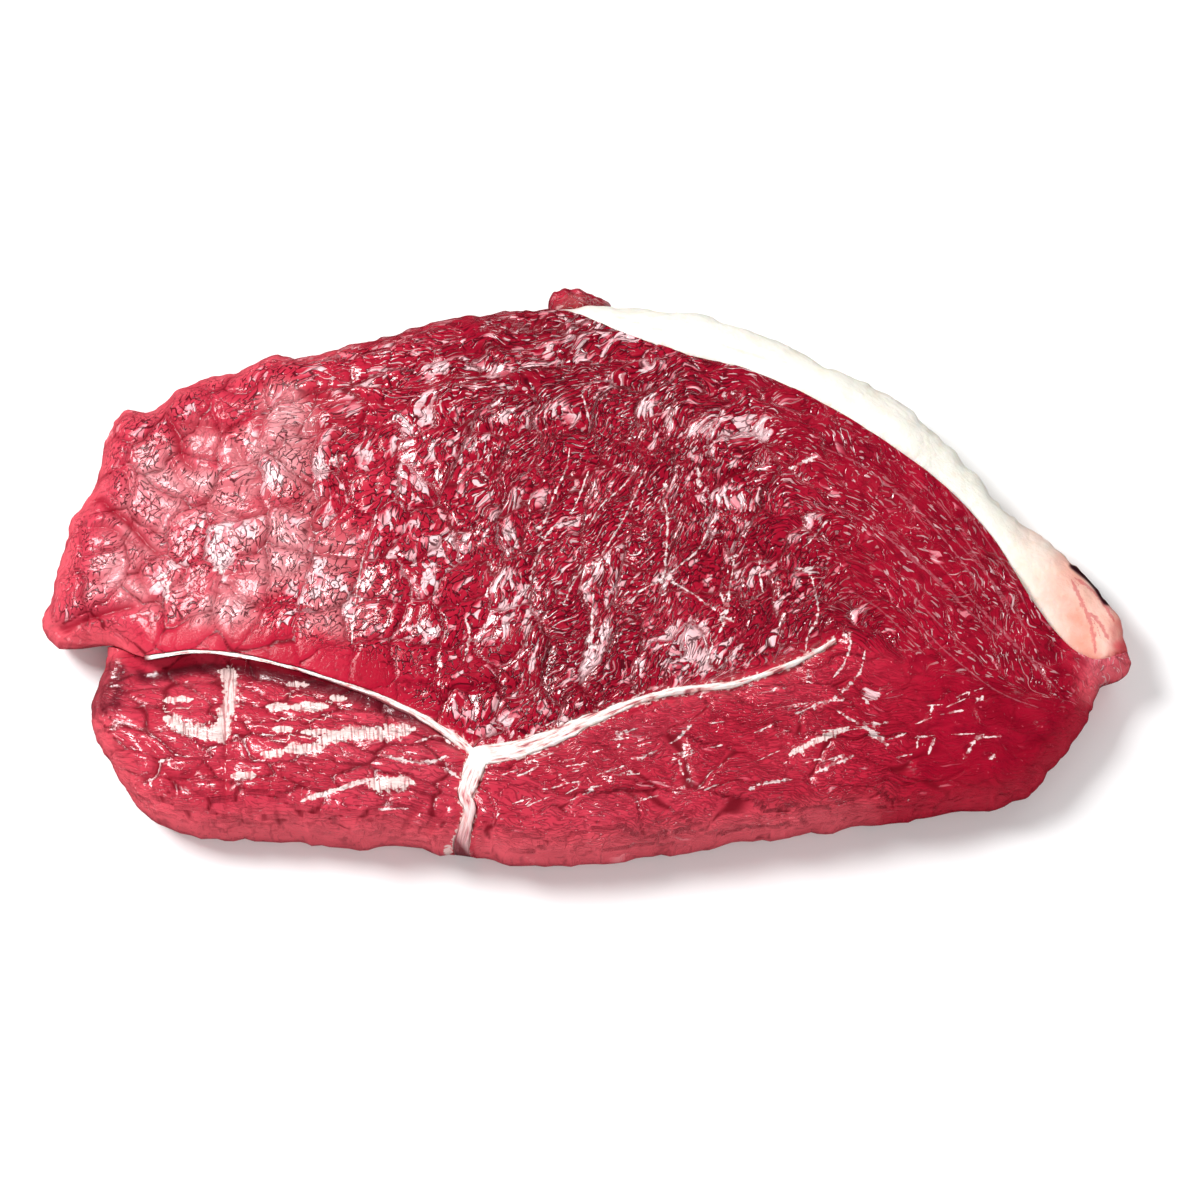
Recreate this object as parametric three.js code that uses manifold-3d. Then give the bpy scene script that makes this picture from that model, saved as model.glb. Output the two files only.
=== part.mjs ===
// A raw rump steak, one slice lying flat on its cut underside.
// Millimetres, +Z up. The origin is under the middle of the steak, on the surface it lies on;
// +X runs along the steak to its pointed end, +Y towards the edge that carries the fat.
// Pieces: the large upper muscle, the smaller lower muscle tucked under its edge, the sheet of
// white connective tissue between them, the fat cap along the back and a scrap of lean behind it.
import * as THREE from "three";
import { mergeGeometries, mergeVertices } from "three/addons/utils/BufferGeometryUtils.js";
import Module from "manifold-3d";

const wasm = await Module();
wasm.setup();

// ---- Driving dimensions ------------------------------------------------------------------------

const THICKNESS = 21; // of the slice, over its middle
const LEFT_END_DROP = 4.5; // how much thinner the ragged left end is
const RIGHT_END_DROP = 5; // how much thinner the pointed right end is
const FRONT_DROP = 1.5; // how much lower the front edge lies
const EQUATOR = 8.5; // height at which the free sides bulge out furthest
const EQUATOR_SWING = 2; // how much that height wanders along the sides
const RIM_RADIUS = 7; // how far in from the side the top starts to round over
const RIM_SWING = 1.8; // how much that wanders
const FAT_SHOULDER = 9.5; // the same over the fat, which slopes away more gently
const FOOT_RADIUS = 4.5; // how far in from the side the underside leaves the table
const UNDERCUT = 1; // depth below the table that is cut away to leave the flat face

const GAP = 0.3; // clearance between two pieces that touch
const LAP = 6; // how far the lower muscle reaches under the upper one at the left
const STEP = 5; // how far its top lies below the upper muscle's edge there
const SKIN = 1.1; // thickness of the connective sheet along the overhanging edge
const SINEW = 3.4; // its greatest thickness, where its three arms meet
const SKIN_PROUD = 0.3; // how far it stands above the lean beside it
const SEAM_GROOVE = 0.9; // how far the lean rounds down beside it
const SEAM_GROOVE_WIDTH = 2.2;
const FAT_STEP = 0.8; // how far the fat lies below the lean
const FAT_DIMPLE = 0.5; // depth of the slow dimples in it
const SCRAP_SIZE = [12, 6, 20]; // of the scrap, with the part of it that the fat hides
const SCRAP_PLACE = [-1.4, 53.8, 6];

const CELL = 8; // usual width of a bundle of muscle fibres
const CELL_RELIEF = 1; // height of a bundle over the crack round it
const CRACK = 0.45; // reach of the slope down to the crack, in bundle widths
const FOLD_RELIEF = 1.3; // depth of the long folds behind the back edge
const FOLD_BAND = 24; // how far in from the back edge they reach

const FINEST = 1e-4; // corners closer than this are one
const OUTSIDE = 20; // how far the cutting shapes reach past the steak
const PLAN_CENTRE = [-0.11, 1.1]; // the middle of the steak, in the plan that the lists below use

// ---- Plan: points on each line, joined by smooth curves ------------------------------------------

const NORTH_WEST = [-89, 29.2];
const NORTH_EAST = [99.9, -15.2];
const SOUTH_EAST = [81.5, -41.2];
const SOUTH_WEST = [-94.3, -15.2];
// Upper muscle and fat cap together. From under the lobe at the left until the foot of the seam the
// south side is only the cut's rough size, as the lower muscle takes its place.
const UPPER_PLAN = {
  west: [
    SOUTH_WEST, [-97.7, -13.3], [-99.9, -10.4], [-100, -7], [-97.4, 0.7], [-97.1, 6], [-95.8, 10.4],
    [-91.9, 16.7], [-90.8, 24], NORTH_WEST,
  ],
  north: [
    NORTH_WEST, [-85.4, 31.6], [-82, 31.4], [-80.4, 32], [-78.8, 34], [-76.4, 35.5], [-72.9, 37.4],
    [-65.9, 38.6], [-59.9, 41.8], [-51.4, 41.8], [-41.1, 45], [-26, 48.6], [-8, 51.4], [2.5, 51.9],
    [17.7, 50.4], [40.4, 42.6], [59.1, 32.8], [67.3, 25.3], [79.5, 11.6], [89.7, 3], [95, -2.8],
    [98.2, -9.6], NORTH_EAST,
  ],
  east: [SOUTH_EAST, [86.4, -36], [90.3, -30.9], [94.8, -21.8], [98, -20.5], [99.8, -17.7], NORTH_EAST],
  south: [
    SOUTH_WEST, [-88, -14.8], [-85.5, -16.5], [-83, -20], [-81, -27], [-76, -38], [-64, -46],
    [-45, -50.5], [-23.9, -52.9], [-6, -54.2], [10, -53.2], [30, -50.2], [66.4, -44.9], [75.5, -43.8],
    SOUTH_EAST,
  ],
};
// Lower muscle. Its north and east sides lie hidden behind the cut along the seam.
const LOWER_PLAN = {
  west: [[-82.6, -43.6], [-87.6, -36], [-90, -31.3], [-90.9, -27.1], [-89.2, -19.9], [-88.8, -8]],
  north: [[-88.8, -8], [-70, -3], [-50, -8], [-30, -16], [-12, -26]],
  east: [[-12, -54], [-12, -26]],
  south: [
    [-82.6, -43.6], [-79.2, -46], [-67.6, -50.1], [-61.2, -49.7], [-52.1, -50.1], [-43, -51.4],
    [-35.7, -51], [-23.9, -52.9], [-12, -54],
  ],
};
const FAT_LINE = [
  [-16, 58], [-7.8, 50.6], [18.1, 39.3], [31.3, 35.6], [61.3, 17.7], [75.3, 4], [80.8, -6.4],
  [88, -15.1], [92.1, -17.7], [96, -17.2], [104, -13],
];
const SEAM_KNOT = [-19.3, -36.8]; // where the three arms of the connective sheet meet
const SEAM_LEFT = [
  [-80.5, -19.2], [-70.1, -17.9], [-57.3, -19.8], [-35.5, -26.7], [-24.5, -32.8], SEAM_KNOT,
];
const SEAM_RIGHT = [SEAM_KNOT, [-11.9, -35.4], [13.3, -25.4], [27.8, -23.2], [40.5, -18.2], [45.1, -15.4]];
const SEAM_FOOT = [SEAM_KNOT, [-21.6, -43.6], [-21, -46.7], [-24.6, -58]];
const LOBE_GAP = [[-104, -18], [-93, -17.8], [-87, -17.2], SEAM_LEFT[0]]; // open air under the lobe

// Deep creases that run in from the ragged left end.
const CREASES = [
  { path: [[-94, 17.5], [-89.5, 15.5], [-86, 12], [-83, 7.5], [-78, 1]], depth: 3, width: 3.4 },
  { path: [[-99, -9], [-92.5, -8], [-88, -6.5], [-80, -4]], depth: 2, width: 3.4 },
  { path: [[-84, 33], [-78.5, 29], [-75, 23.5], [-70, 16]], depth: 2, width: 3.4 },
];

// ---- Small helpers -------------------------------------------------------------------------------

const smooth = (t) => THREE.MathUtils.smoothstep(t, 0, 1);
const curve = (points) =>
  new THREE.CatmullRomCurve3(points.map(([x, y]) => new THREE.Vector3(x, y, 0)), false, "centripetal");
const sampled = (points, spacing = 1.5) => {
  const line = curve(points);
  return line.getSpacedPoints(Math.ceil(line.getLength() / spacing));
};

// Distance from (x, y) to a line of sampled points, and the share of the way along it.
function nearest(line, x, y) {
  let best = Infinity;
  let along = 0;
  for (let i = 0; i + 1 < line.length; i++) {
    const dx = line[i + 1].x - line[i].x;
    const dy = line[i + 1].y - line[i].y;
    const t = THREE.MathUtils.clamp(
      ((x - line[i].x) * dx + (y - line[i].y) * dy) / (dx * dx + dy * dy || 1), 0, 1);
    const far = Math.hypot(x - line[i].x - t * dx, y - line[i].y - t * dy);
    if (far < best) {
      best = far;
      along = (i + t) / (line.length - 1);
    }
  }
  return { far: best, along };
}

// A number from 0 to 1 that depends only on a lattice cell and a channel.
function draw(i, j, channel) {
  const s = Math.sin(i * 127.1 + j * 311.7 + channel * 74.7) * 43758.5453;
  return s - Math.floor(s);
}

// Smooth noise from -1 to 1 with one lattice cell to the unit.
function noise(x, y, channel) {
  const i = Math.floor(x);
  const j = Math.floor(y);
  const a = smooth(x - i);
  const b = smooth(y - j);
  const low = THREE.MathUtils.lerp(draw(i, j, channel), draw(i + 1, j, channel), a);
  const high = THREE.MathUtils.lerp(draw(i, j + 1, channel), draw(i + 1, j + 1, channel), a);
  return 2 * THREE.MathUtils.lerp(low, high, b) - 1;
}

// How far (x, y) is from the crack between two bundles, in cell widths: the second nearest seed's
// distance less the nearest's. Bundles are stretched along a grain that lies at an angle to +X.
function bundle(x, y, { size, stretch, angle, channel }) {
  const c = Math.cos(angle);
  const s = Math.sin(angle);
  const p = (x * c + y * s) / (size * stretch);
  const q = (-x * s + y * c) / size;
  let first = Infinity;
  let second = Infinity;
  for (let i = Math.floor(p) - 1; i <= Math.floor(p) + 1; i++)
    for (let j = Math.floor(q) - 1; j <= Math.floor(q) + 1; j++) {
      const far = Math.hypot(i + draw(i, j, channel) - p, j + draw(i, j, channel + 1) - q);
      if (far < first) [first, second] = [far, first];
      else if (far < second) second = far;
    }
  return second - first;
}

// ---- Heights of the top --------------------------------------------------------------------------

// A plan's outline in one round: the north and west sides are listed the other way about.
const round = ({ south, east, north, west }) =>
  [...sampled(south), ...sampled(east), ...sampled(north).reverse(), ...sampled(west).reverse()];
const UPPER_EDGE = round(UPPER_PLAN);
const LOWER_EDGE = round(LOWER_PLAN);
const BACK_EDGE = sampled(UPPER_PLAN.north);
const SEAMS = [SEAM_LEFT, SEAM_RIGHT, SEAM_FOOT].map((points) => sampled(points));
const CREASE_LINES = CREASES.map(({ path }) => sampled(path));

// Grain of the four regions: open polygons at the left and middle, long bundles that follow the fat
// at the right, and flatter ones in the two muscles at the front.
const OPEN_GRAIN = { size: CELL, stretch: 1.15, angle: 0.9, channel: 1 };
const FAT_SIDE_GRAIN = { size: 0.6 * CELL, stretch: 3.2, angle: -0.8, channel: 3 };
const FRONT_GRAIN = { size: 0.6 * CELL, stretch: 2.6, angle: -0.22, channel: 5 };

// Share of the fat-side grain, which takes over towards the pointed end.
const fatSideShare = (x, y) => smooth((x + 0.5 * y - 28) / 22);
// Share of the front grain: below the right arm of the seam and, past its tip, the line it points along.
const frontShare = (x, y) => smooth((-14 - 0.38 * Math.abs(x - 45) - y) / 6) * smooth((x + 24) / 6);

function bundleRelief(x, y) {
  const height = (grain) => CELL_RELIEF * (smooth(bundle(x, y, grain) / CRACK) - 1);
  const back = THREE.MathUtils.lerp(height(OPEN_GRAIN), 0.6 * height(FAT_SIDE_GRAIN), fatSideShare(x, y));
  return THREE.MathUtils.lerp(back, 0.7 * height(FRONT_GRAIN), frontShare(x, y));
}

// Long soft folds that follow the back edge, deepest half way in.
function foldRelief(x, y) {
  const { far, along } = nearest(BACK_EDGE, x, y);
  const band = Math.sin(Math.PI * THREE.MathUtils.clamp(far / FOLD_BAND, 0, 1));
  return FOLD_RELIEF * band * smooth((x + 75) / 30) * noise(along * 9, far / 4.2, 11);
}

function creaseRelief(x, y) {
  return CREASES.reduce((sum, { depth, width }, k) => {
    const { far } = nearest(CREASE_LINES[k], x, y);
    return sum - depth * Math.exp(-((far / width) ** 2));
  }, 0);
}

const seamDistance = (x, y) => Math.min(...SEAMS.map((line) => nearest(line, x, y).far));

// Plain thickness of the slice: full in the middle, thinner towards both ends and the front.
function sliceHeight(x, y) {
  const left = LEFT_END_DROP * smooth((-x - 35) / 65);
  const right = RIGHT_END_DROP * smooth((x - 40) / 60);
  return THICKNESS - left - right - FRONT_DROP * smooth((-y - 10) / 45);
}

function upperHeight(x, y) {
  const groove = SEAM_GROOVE * Math.exp(-((seamDistance(x, y) / SEAM_GROOVE_WIDTH) ** 2));
  return sliceHeight(x, y) + bundleRelief(x, y) + foldRelief(x, y) + creaseRelief(x, y) - groove;
}

// The fat is smooth but for slow dimples.
const fatHeight = (x, y) => sliceHeight(x, y) - FAT_STEP + FAT_DIMPLE * noise(x / 9, y / 9, 13);

// The lower muscle's top falls away under the overhanging edge, most at the left.
function lowerHeight(x, y) {
  const { far, along } = nearest(SEAMS[0], x, y);
  const fall = STEP * (1 - 0.85 * smooth(along)) * Math.exp(-((far / 9) ** 2));
  const groove = SEAM_GROOVE * Math.exp(-((seamDistance(x, y) / SEAM_GROOVE_WIDTH) ** 2));
  const cells = CELL_RELIEF * (smooth(bundle(x, y, FRONT_GRAIN) / CRACK) - 1);
  return sliceHeight(x, y) - fall - groove + cells;
}

const sinewHeight = (x, y) => sliceHeight(x, y) - 0.5 * SEAM_GROOVE + SKIN_PROUD;

// ---- Solids --------------------------------------------------------------------------------------

function solidOf(geometry) {
  const bare = geometry.index ? geometry.toNonIndexed() : geometry.clone();
  bare.deleteAttribute("uv");
  bare.deleteAttribute("normal");
  const merged = mergeVertices(bare, FINEST);
  return new wasm.Manifold(
    new wasm.Mesh({
      numProp: 3,
      vertProperties: merged.attributes.position.array,
      triVerts: new Uint32Array(merged.index.array),
    }),
  );
}

const TABLE = solidOf(new THREE.BoxGeometry(300, 300, OUTSIDE).translate(0, 0, -OUTSIDE / 2));

// Places of the grid lines from 0 to 1: close together within `rim` of each end, even between.
function gridLines(count, rim, rimRows = 3) {
  const turn = (k) => rim * (1 - Math.cos((k / rimRows) * (Math.PI / 2)));
  return Array.from({ length: count + 1 }, (_, k) => {
    if (k <= rimRows) return turn(k);
    if (k >= count - rimRows) return 1 - turn(count - k);
    return rim + ((k - rimRows) / (count - 2 * rimRows)) * (1 - 2 * rim);
  });
}

// A point of the plan: the patch spanned by four side curves, each run through from 0 to 1.
function patchPoint(sides, u, v) {
  const at = (side, t) => sides[side].getPointAt(t);
  const south = at("south", u);
  const north = at("north", u);
  const west = at("west", v);
  const east = at("east", v);
  const corner = (key) =>
    (1 - u) * ((1 - v) * at("west", 0)[key] + v * at("west", 1)[key]) +
    u * ((1 - v) * at("east", 0)[key] + v * at("east", 1)[key]);
  const mix = (key) =>
    (1 - v) * south[key] + v * north[key] + (1 - u) * west[key] + u * east[key] - corner(key);
  return [mix("x"), mix("y")];
}

// Height of the widest place of the side near (x, y).
const equatorAt = (x, y) => EQUATOR + EQUATOR_SWING * noise(x / 16, y / 16, 19);
const rimAt = (radius) => (x, y) => radius + RIM_SWING * noise(x / 11, y / 11, 21);

// A cushion-shaped slab over a plan. From the height where its side is widest the top rounds up over
// `radiusAt` and the underside rounds down over FOOT_RADIUS; the underside is then cut flat.
function slab({ plan, edge, across, along, heightAt, radiusAt }) {
  const sides = Object.fromEntries(Object.entries(plan).map(([side, points]) => [side, curve(points)]));
  const us = gridLines(across, RIM_RADIUS / 200);
  const vs = gridLines(along, RIM_RADIUS / 80);
  const quarter = (far, radius) => Math.sqrt(1 - (1 - Math.min(far / radius, 1)) ** 2);
  const sheet = (mirrored, zAt) => {
    const plane = new THREE.PlaneGeometry(1, 1, across, along);
    const places = plane.attributes.position;
    for (let k = 0; k < places.count; k++) {
      const column = Math.round((places.getX(k) + 0.5) * across);
      const row = Math.round((places.getY(k) + 0.5) * along);
      const [x, y] = patchPoint(sides, us[mirrored ? across - column : column], vs[row]);
      const onRim = column === 0 || column === across || row === 0 || row === along;
      places.setXYZ(k, x, y, onRim ? equatorAt(x, y) : zAt(x, y, nearest(edge, x, y).far));
    }
    return plane;
  };
  const top = sheet(false, (x, y, far) => {
    const widest = equatorAt(x, y);
    return widest + (heightAt(x, y) - widest) * quarter(far, radiusAt(x, y));
  });
  const underside = sheet(true, (x, y, far) => {
    const widest = equatorAt(x, y);
    return widest - (widest + UNDERCUT) * quarter(far, FOOT_RADIUS);
  });
  return solidOf(mergeGeometries([top, underside])).subtract(TABLE);
}

// Moves what lies below the top towards the back, so that a cut made along the left arm of the seam
// slopes in under the upper muscle. The slope dies out towards the seam's knot.
function leanBack(geometry) {
  const places = geometry.attributes.position;
  for (let k = 0; k < places.count; k++) {
    const share = smooth((SEAM_KNOT[0] - 6 - places.getX(k)) / 40);
    places.setY(k, places.getY(k) + LAP * share * (1 - places.getZ(k) / THICKNESS));
  }
  return geometry;
}

// An upright prism over a closed outline, taller than the steak both ways.
function prism(outline) {
  const shape = new THREE.Shape(outline.map((p) => new THREE.Vector2(p.x, p.y)));
  const upright = new THREE.ExtrudeGeometry(shape, { depth: THICKNESS + OUTSIDE, bevelEnabled: false });
  return solidOf(leanBack(upright.translate(0, 0, -OUTSIDE / 2)));
}

// The outline of a strip along a line; its width is a function of the share of the way along.
function strip(points, widthAt) {
  const line = curve(points);
  const count = Math.ceil(line.getLength() / 2);
  const side = (sign) =>
    Array.from({ length: count + 1 }, (_, k) => {
      const place = line.getPointAt(k / count);
      const heading = line.getTangentAt(k / count);
      const half = (sign * widthAt(k / count)) / 2;
      return new THREE.Vector2(place.x + heading.y * half, place.y - heading.x * half);
    });
  return [...side(1), ...side(-1).reverse()];
}

const largest = (solid) => solid.decompose().sort((a, b) => b.volume() - a.volume())[0];

// ---- The connective sheet and the cuts -------------------------------------------------------------

// Width of each arm: thin along the overhang, thickest by the knot, tapering to nothing in the lean.
const leftWidth = (t) => SKIN + 0.8 * smooth((t - 0.75) / 0.25);
const rightWidth = (t) => THREE.MathUtils.lerp(SINEW, 0.5, smooth(t / 0.55) * 0.72 + 0.28 * t);
const footWidth = (t) => SINEW * (0.85 + 0.15 * Math.cos(9 * t));

function sheetSolid(extra) {
  const arm = (points, widthAt) => prism(strip(points, (t) => widthAt(t) + extra));
  const reach = (SINEW + extra) / 2;
  const knot = new THREE.CylinderGeometry(reach, reach, THICKNESS + OUTSIDE, 16);
  knot.rotateX(Math.PI / 2).translate(SEAM_KNOT[0], SEAM_KNOT[1], THICKNESS / 2);
  return arm(SEAM_LEFT, leftWidth)
    .add(arm(SEAM_RIGHT, rightWidth))
    .add(arm(SEAM_FOOT, footWidth))
    .add(solidOf(knot));
}

// Everything in front of the left arm and to the left of the foot, and everything behind the fat line.
const corners = (...places) => places.map(([x, y]) => new THREE.Vector2(x, y));
const lowerRegion = prism([
  ...sampled([...LOBE_GAP, ...SEAM_LEFT.slice(1)]), ...sampled(SEAM_FOOT).slice(1),
  ...corners([-60, -80], [-120, -60], [-125, -14]),
]);
const fatRegion = prism([...sampled(FAT_LINE), ...corners([120, 30], [60, 90], [-16, 90])]);
const sheetCut = sheetSolid(2 * GAP);
const lobeCut = prism(strip([...LOBE_GAP, SEAM_LEFT[1]], () => 2 * GAP));
const fatCut = prism(strip(FAT_LINE, () => GAP));

// ---- Pieces --------------------------------------------------------------------------------------

const UPPER_GRID = { plan: UPPER_PLAN, edge: UPPER_EDGE, across: 74, along: 34 };
const SHEET_GRID = { plan: UPPER_PLAN, edge: UPPER_EDGE, across: 50, along: 24 };
const LOWER_GRID = { plan: LOWER_PLAN, edge: LOWER_EDGE, across: 34, along: 18 };

function mainMuscle() {
  return largest(
    slab({ ...UPPER_GRID, heightAt: upperHeight, radiusAt: rimAt(RIM_RADIUS) })
      .subtract(fatRegion)
      .subtract(fatCut)
      .subtract(lowerRegion)
      .subtract(lobeCut)
      .subtract(sheetCut),
  );
}

function lowerMuscle() {
  return largest(
    slab({ ...LOWER_GRID, heightAt: lowerHeight, radiusAt: rimAt(RIM_RADIUS) })
      .intersect(lowerRegion)
      .subtract(lobeCut)
      .subtract(sheetCut),
  );
}

function connectiveSheet() {
  return largest(
    slab({ ...SHEET_GRID, heightAt: sinewHeight, radiusAt: rimAt(RIM_RADIUS) }).intersect(sheetSolid(0)),
  );
}

function fatCap() {
  return largest(
    slab({ ...UPPER_GRID, heightAt: fatHeight, radiusAt: rimAt(FAT_SHOULDER) })
      .intersect(fatRegion)
      .subtract(fatCut),
  );
}

// A torn tag of lean against the back of the fat where the fat begins: a flattened lump that leans
// on the fat's side, pulled out to a point at its right end.
function leanScrap() {
  const lump = new THREE.SphereGeometry(0.5, 24, 14);
  const places = lump.attributes.position;
  for (let k = 0; k < places.count; k++) {
    const [x, y, z] = [places.getX(k), places.getY(k), places.getZ(k)];
    const girth = (1 - 0.55 * smooth(x + 0.5)) * (1 + 0.12 * noise(x * 7 + 3, z * 5 + y * 4, 17));
    places.setXYZ(k, x * SCRAP_SIZE[0], y * girth * SCRAP_SIZE[1], z * girth * SCRAP_SIZE[2]);
  }
  lump.translate(...SCRAP_PLACE);
  const higher = (x, y) => sliceHeight(x, y) + GAP;
  const side = slab({ ...UPPER_GRID, heightAt: higher, radiusAt: rimAt(RIM_RADIUS) });
  return largest(solidOf(lump).subtract(TABLE).subtract(side).subtract(side.translate([0, GAP, 0])));
}

// ---- Materials and the steak ---------------------------------------------------------------------

const lean = new THREE.MeshStandardMaterial({ color: "#a8243a", roughness: 0.35, metalness: 0 });
const frontLean = new THREE.MeshStandardMaterial({ color: "#b53a4c", roughness: 0.35, metalness: 0 });
const fat = new THREE.MeshStandardMaterial({ color: "#f4dfc8", roughness: 0.45, metalness: 0 });
const sinew = new THREE.MeshStandardMaterial({ color: "#f1dcd6", roughness: 0.4, metalness: 0 });

function piece(name, solid, material) {
  const made = solid.getMesh();
  const geometry = new THREE.BufferGeometry();
  geometry.setAttribute("position", new THREE.BufferAttribute(made.vertProperties, 3));
  geometry.setIndex(new THREE.BufferAttribute(made.triVerts, 1));
  const mesh = new THREE.Mesh(geometry, material);
  mesh.name = name;
  mesh.position.set(-PLAN_CENTRE[0], -PLAN_CENTRE[1], 0);
  return mesh;
}

const steak = new THREE.Group();
steak.add(
  piece("main_muscle", mainMuscle(), lean),
  piece("lower_muscle", lowerMuscle(), frontLean),
  piece("connective_sheet", connectiveSheet(), sinew),
  piece("fat_cap", fatCap(), fat),
  piece("lean_scrap", leanScrap(), lean),
);

export default steak;
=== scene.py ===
"""A raw rump steak on a pale table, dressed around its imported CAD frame.

Every surface here is worked out with numpy in millimetres, in the plan that the CAD part uses, and
put into its mesh in metres in the frame's own place. Two cushion-shaped slabs (the whole steak, and
its lower muscle) are made as fine grids with their relief, and then cut apart along the lines where
muscle, connective tissue and fat meet.
"""

import functools
import math

import bpy
import numpy as np
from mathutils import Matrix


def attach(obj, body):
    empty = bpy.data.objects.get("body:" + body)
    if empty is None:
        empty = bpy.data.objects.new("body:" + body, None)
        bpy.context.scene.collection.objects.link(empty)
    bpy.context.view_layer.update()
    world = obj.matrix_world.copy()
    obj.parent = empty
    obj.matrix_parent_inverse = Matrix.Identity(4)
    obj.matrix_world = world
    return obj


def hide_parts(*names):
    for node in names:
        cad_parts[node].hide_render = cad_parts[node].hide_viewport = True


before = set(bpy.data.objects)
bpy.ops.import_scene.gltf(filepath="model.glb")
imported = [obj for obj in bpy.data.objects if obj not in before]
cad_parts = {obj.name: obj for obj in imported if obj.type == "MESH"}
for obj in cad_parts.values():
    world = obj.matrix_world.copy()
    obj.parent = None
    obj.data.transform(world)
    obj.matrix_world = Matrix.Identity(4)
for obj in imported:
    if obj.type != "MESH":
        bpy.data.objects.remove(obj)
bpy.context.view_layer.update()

MM = 0.001

# ---- Sizes, in millimetres ---------------------------------------------------------------------

THICKNESS = 21  # of the slice, over its middle
LEFT_END_DROP = 4.5  # how much thinner the ragged left end is
RIGHT_END_DROP = 5  # how much thinner the pointed right end is
FRONT_DROP = 1.5  # how much lower the front edge lies
EQUATOR = 8.5  # height at which the free sides bulge out furthest
EQUATOR_SWING = 2  # how much that height wanders along the sides
RIM_RADIUS = 7  # how far in from the side the top starts to round over
RIM_SWING = 1.8  # how much that wanders
FAT_SHOULDER = 9.5  # the same over the fat, which slopes away more gently
FOOT_RADIUS = 4.5  # how far in from the side the underside leaves the table

GAP = 0.14  # clearance between two pieces
LAP = 6  # how far the lower muscle reaches under the upper one at the left
STEP = 5  # how far its top lies below the upper muscle's edge there
SKIN = 0.55  # thickness of the connective sheet along the overhanging edge
SINEW = 3.4  # its greatest thickness, where its three arms meet
UNEVEN = 0.55  # share by which either edge of an arm strays
SKIN_PROUD = 0.3  # how far it stands above the lean beside it
SEAM_GROOVE = 0.9  # how far the lean rounds down beside it
SEAM_GROOVE_WIDTH = 2.2
FAT_STEP = 0.8  # how far the fat lies below the lean

BUNDLE = 8.5  # usual width of a bundle of muscle fibres
FINE_BUNDLE = 3.4  # width of the smaller bundles inside it
LENS_BUNDLE = 5.4  # width of the long lens-shaped bundles of the lower muscle
FINE_LENS = 2.6  # width of the smaller ones inside them
TIP = 0.13  # greatest slope of a bundle's flat top
FINE_TIP = 0.1  # the same of a smaller bundle's
FOLD_RELIEF = 1.3  # depth of the long folds behind the back edge
FOLD_BAND = 24  # how far in from the back edge they reach
FRONT_FOLD = 0.4  # depth of the soft slanting folds of the front muscle
SEED_BORDER = 0.12  # share of a lattice cell along each side of it where no bundle has its seed
STREAKS = 60  # short pale streaks in the front muscle
THREAD = 0.09  # half the width of the pale lines in the smooth lean
VEIN = 0.3  # the same of a vein in the fat
MARK_REACH = 2.5  # how far from a mark its field is worked out
STREAK_RUN = 3.5  # length of the sinew's streaks
STREAK_WIDTH = 0.5

FACE = 19  # usual height of the steak's face, where the marks lie
SPACING = 1.5  # of the points on a smooth curve
MARK_SPACING = 1.0  # the same on a mark
GRID = 0.43  # spacing of the fine surface
CLEAR_GRID = 1.2  # spacing of the surface that makes room beside the scrap
RAGGED = 1.1  # how far the outline strays at its small lumps and nicks
THIN = 4  # the underside keeps one grid line in this many
RIM_ROWS = 12  # grid lines in the rounded rim, which lie closer together
OUTSIDE = 20  # how far the cutting shapes reach past the steak

# ---- Plan, in millimetres: points joined by smooth curves ----------------------------------------

PLAN_CENTRE = np.array((-0.11, 1.1))  # the frame's origin in this plan
NORTH_WEST = (-89, 29.2)
NORTH_EAST = (99.9, -15.2)
SOUTH_EAST = (81.5, -41.2)
SOUTH_WEST = (-94.3, -15.2)
UPPER_PLAN = {
    "west": [
        SOUTH_WEST, (-97.7, -13.3), (-99.9, -10.4), (-100, -7), (-97.4, 0.7), (-97.1, 6), (-95.8, 10.4),
        (-91.9, 16.7), (-90.8, 24), NORTH_WEST,
    ],
    "north": [
        NORTH_WEST, (-85.4, 31.6), (-82, 31.4), (-80.4, 32), (-78.8, 34), (-76.4, 35.5), (-72.9, 37.4),
        (-65.9, 38.6), (-59.9, 41.8), (-51.4, 41.8), (-41.1, 45), (-26, 48.6), (-8, 51.4), (2.5, 51.9),
        (17.7, 50.4), (40.4, 42.6), (59.1, 32.8), (67.3, 25.3), (79.5, 11.6), (89.7, 3), (95, -2.8),
        (98.2, -9.6), NORTH_EAST,
    ],
    "east": [
        SOUTH_EAST, (86.4, -36), (90.3, -30.9), (94.8, -21.8), (98, -20.5), (99.8, -17.7), NORTH_EAST,
    ],
    "south": [
        SOUTH_WEST, (-88, -14.8), (-85.5, -16.5), (-83, -20), (-81, -27), (-76, -38), (-64, -46),
        (-45, -50.5), (-23.9, -52.9), (-6, -54.2), (10, -53.2), (30, -50.2), (66.4, -44.9),
        (75.5, -43.8), SOUTH_EAST,
    ],
}
LOWER_PLAN = {
    "west": [(-82.6, -43.6), (-87.6, -36), (-90, -31.3), (-90.9, -27.1), (-89.2, -19.9), (-88.8, -8)],
    "north": [(-88.8, -8), (-70, -3), (-50, -8), (-30, -16), (-12, -26)],
    "east": [(-12, -54), (-12, -26)],
    "south": [
        (-82.6, -43.6), (-79.2, -46), (-67.6, -50.1), (-61.2, -49.7), (-52.1, -50.1), (-43, -51.4),
        (-35.7, -51), (-23.9, -52.9), (-12, -54),
    ],
}
FAT_LINE = [
    (-16, 58), (-7.8, 50.6), (18.1, 39.3), (31.3, 35.6), (61.3, 17.7), (75.3, 4), (80.8, -6.4),
    (88, -15.1), (92.1, -17.7), (96, -17.2), (104, -13),
]
SEAM_KNOT = (-19.3, -36.8)  # where the three arms of the connective sheet meet
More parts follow.
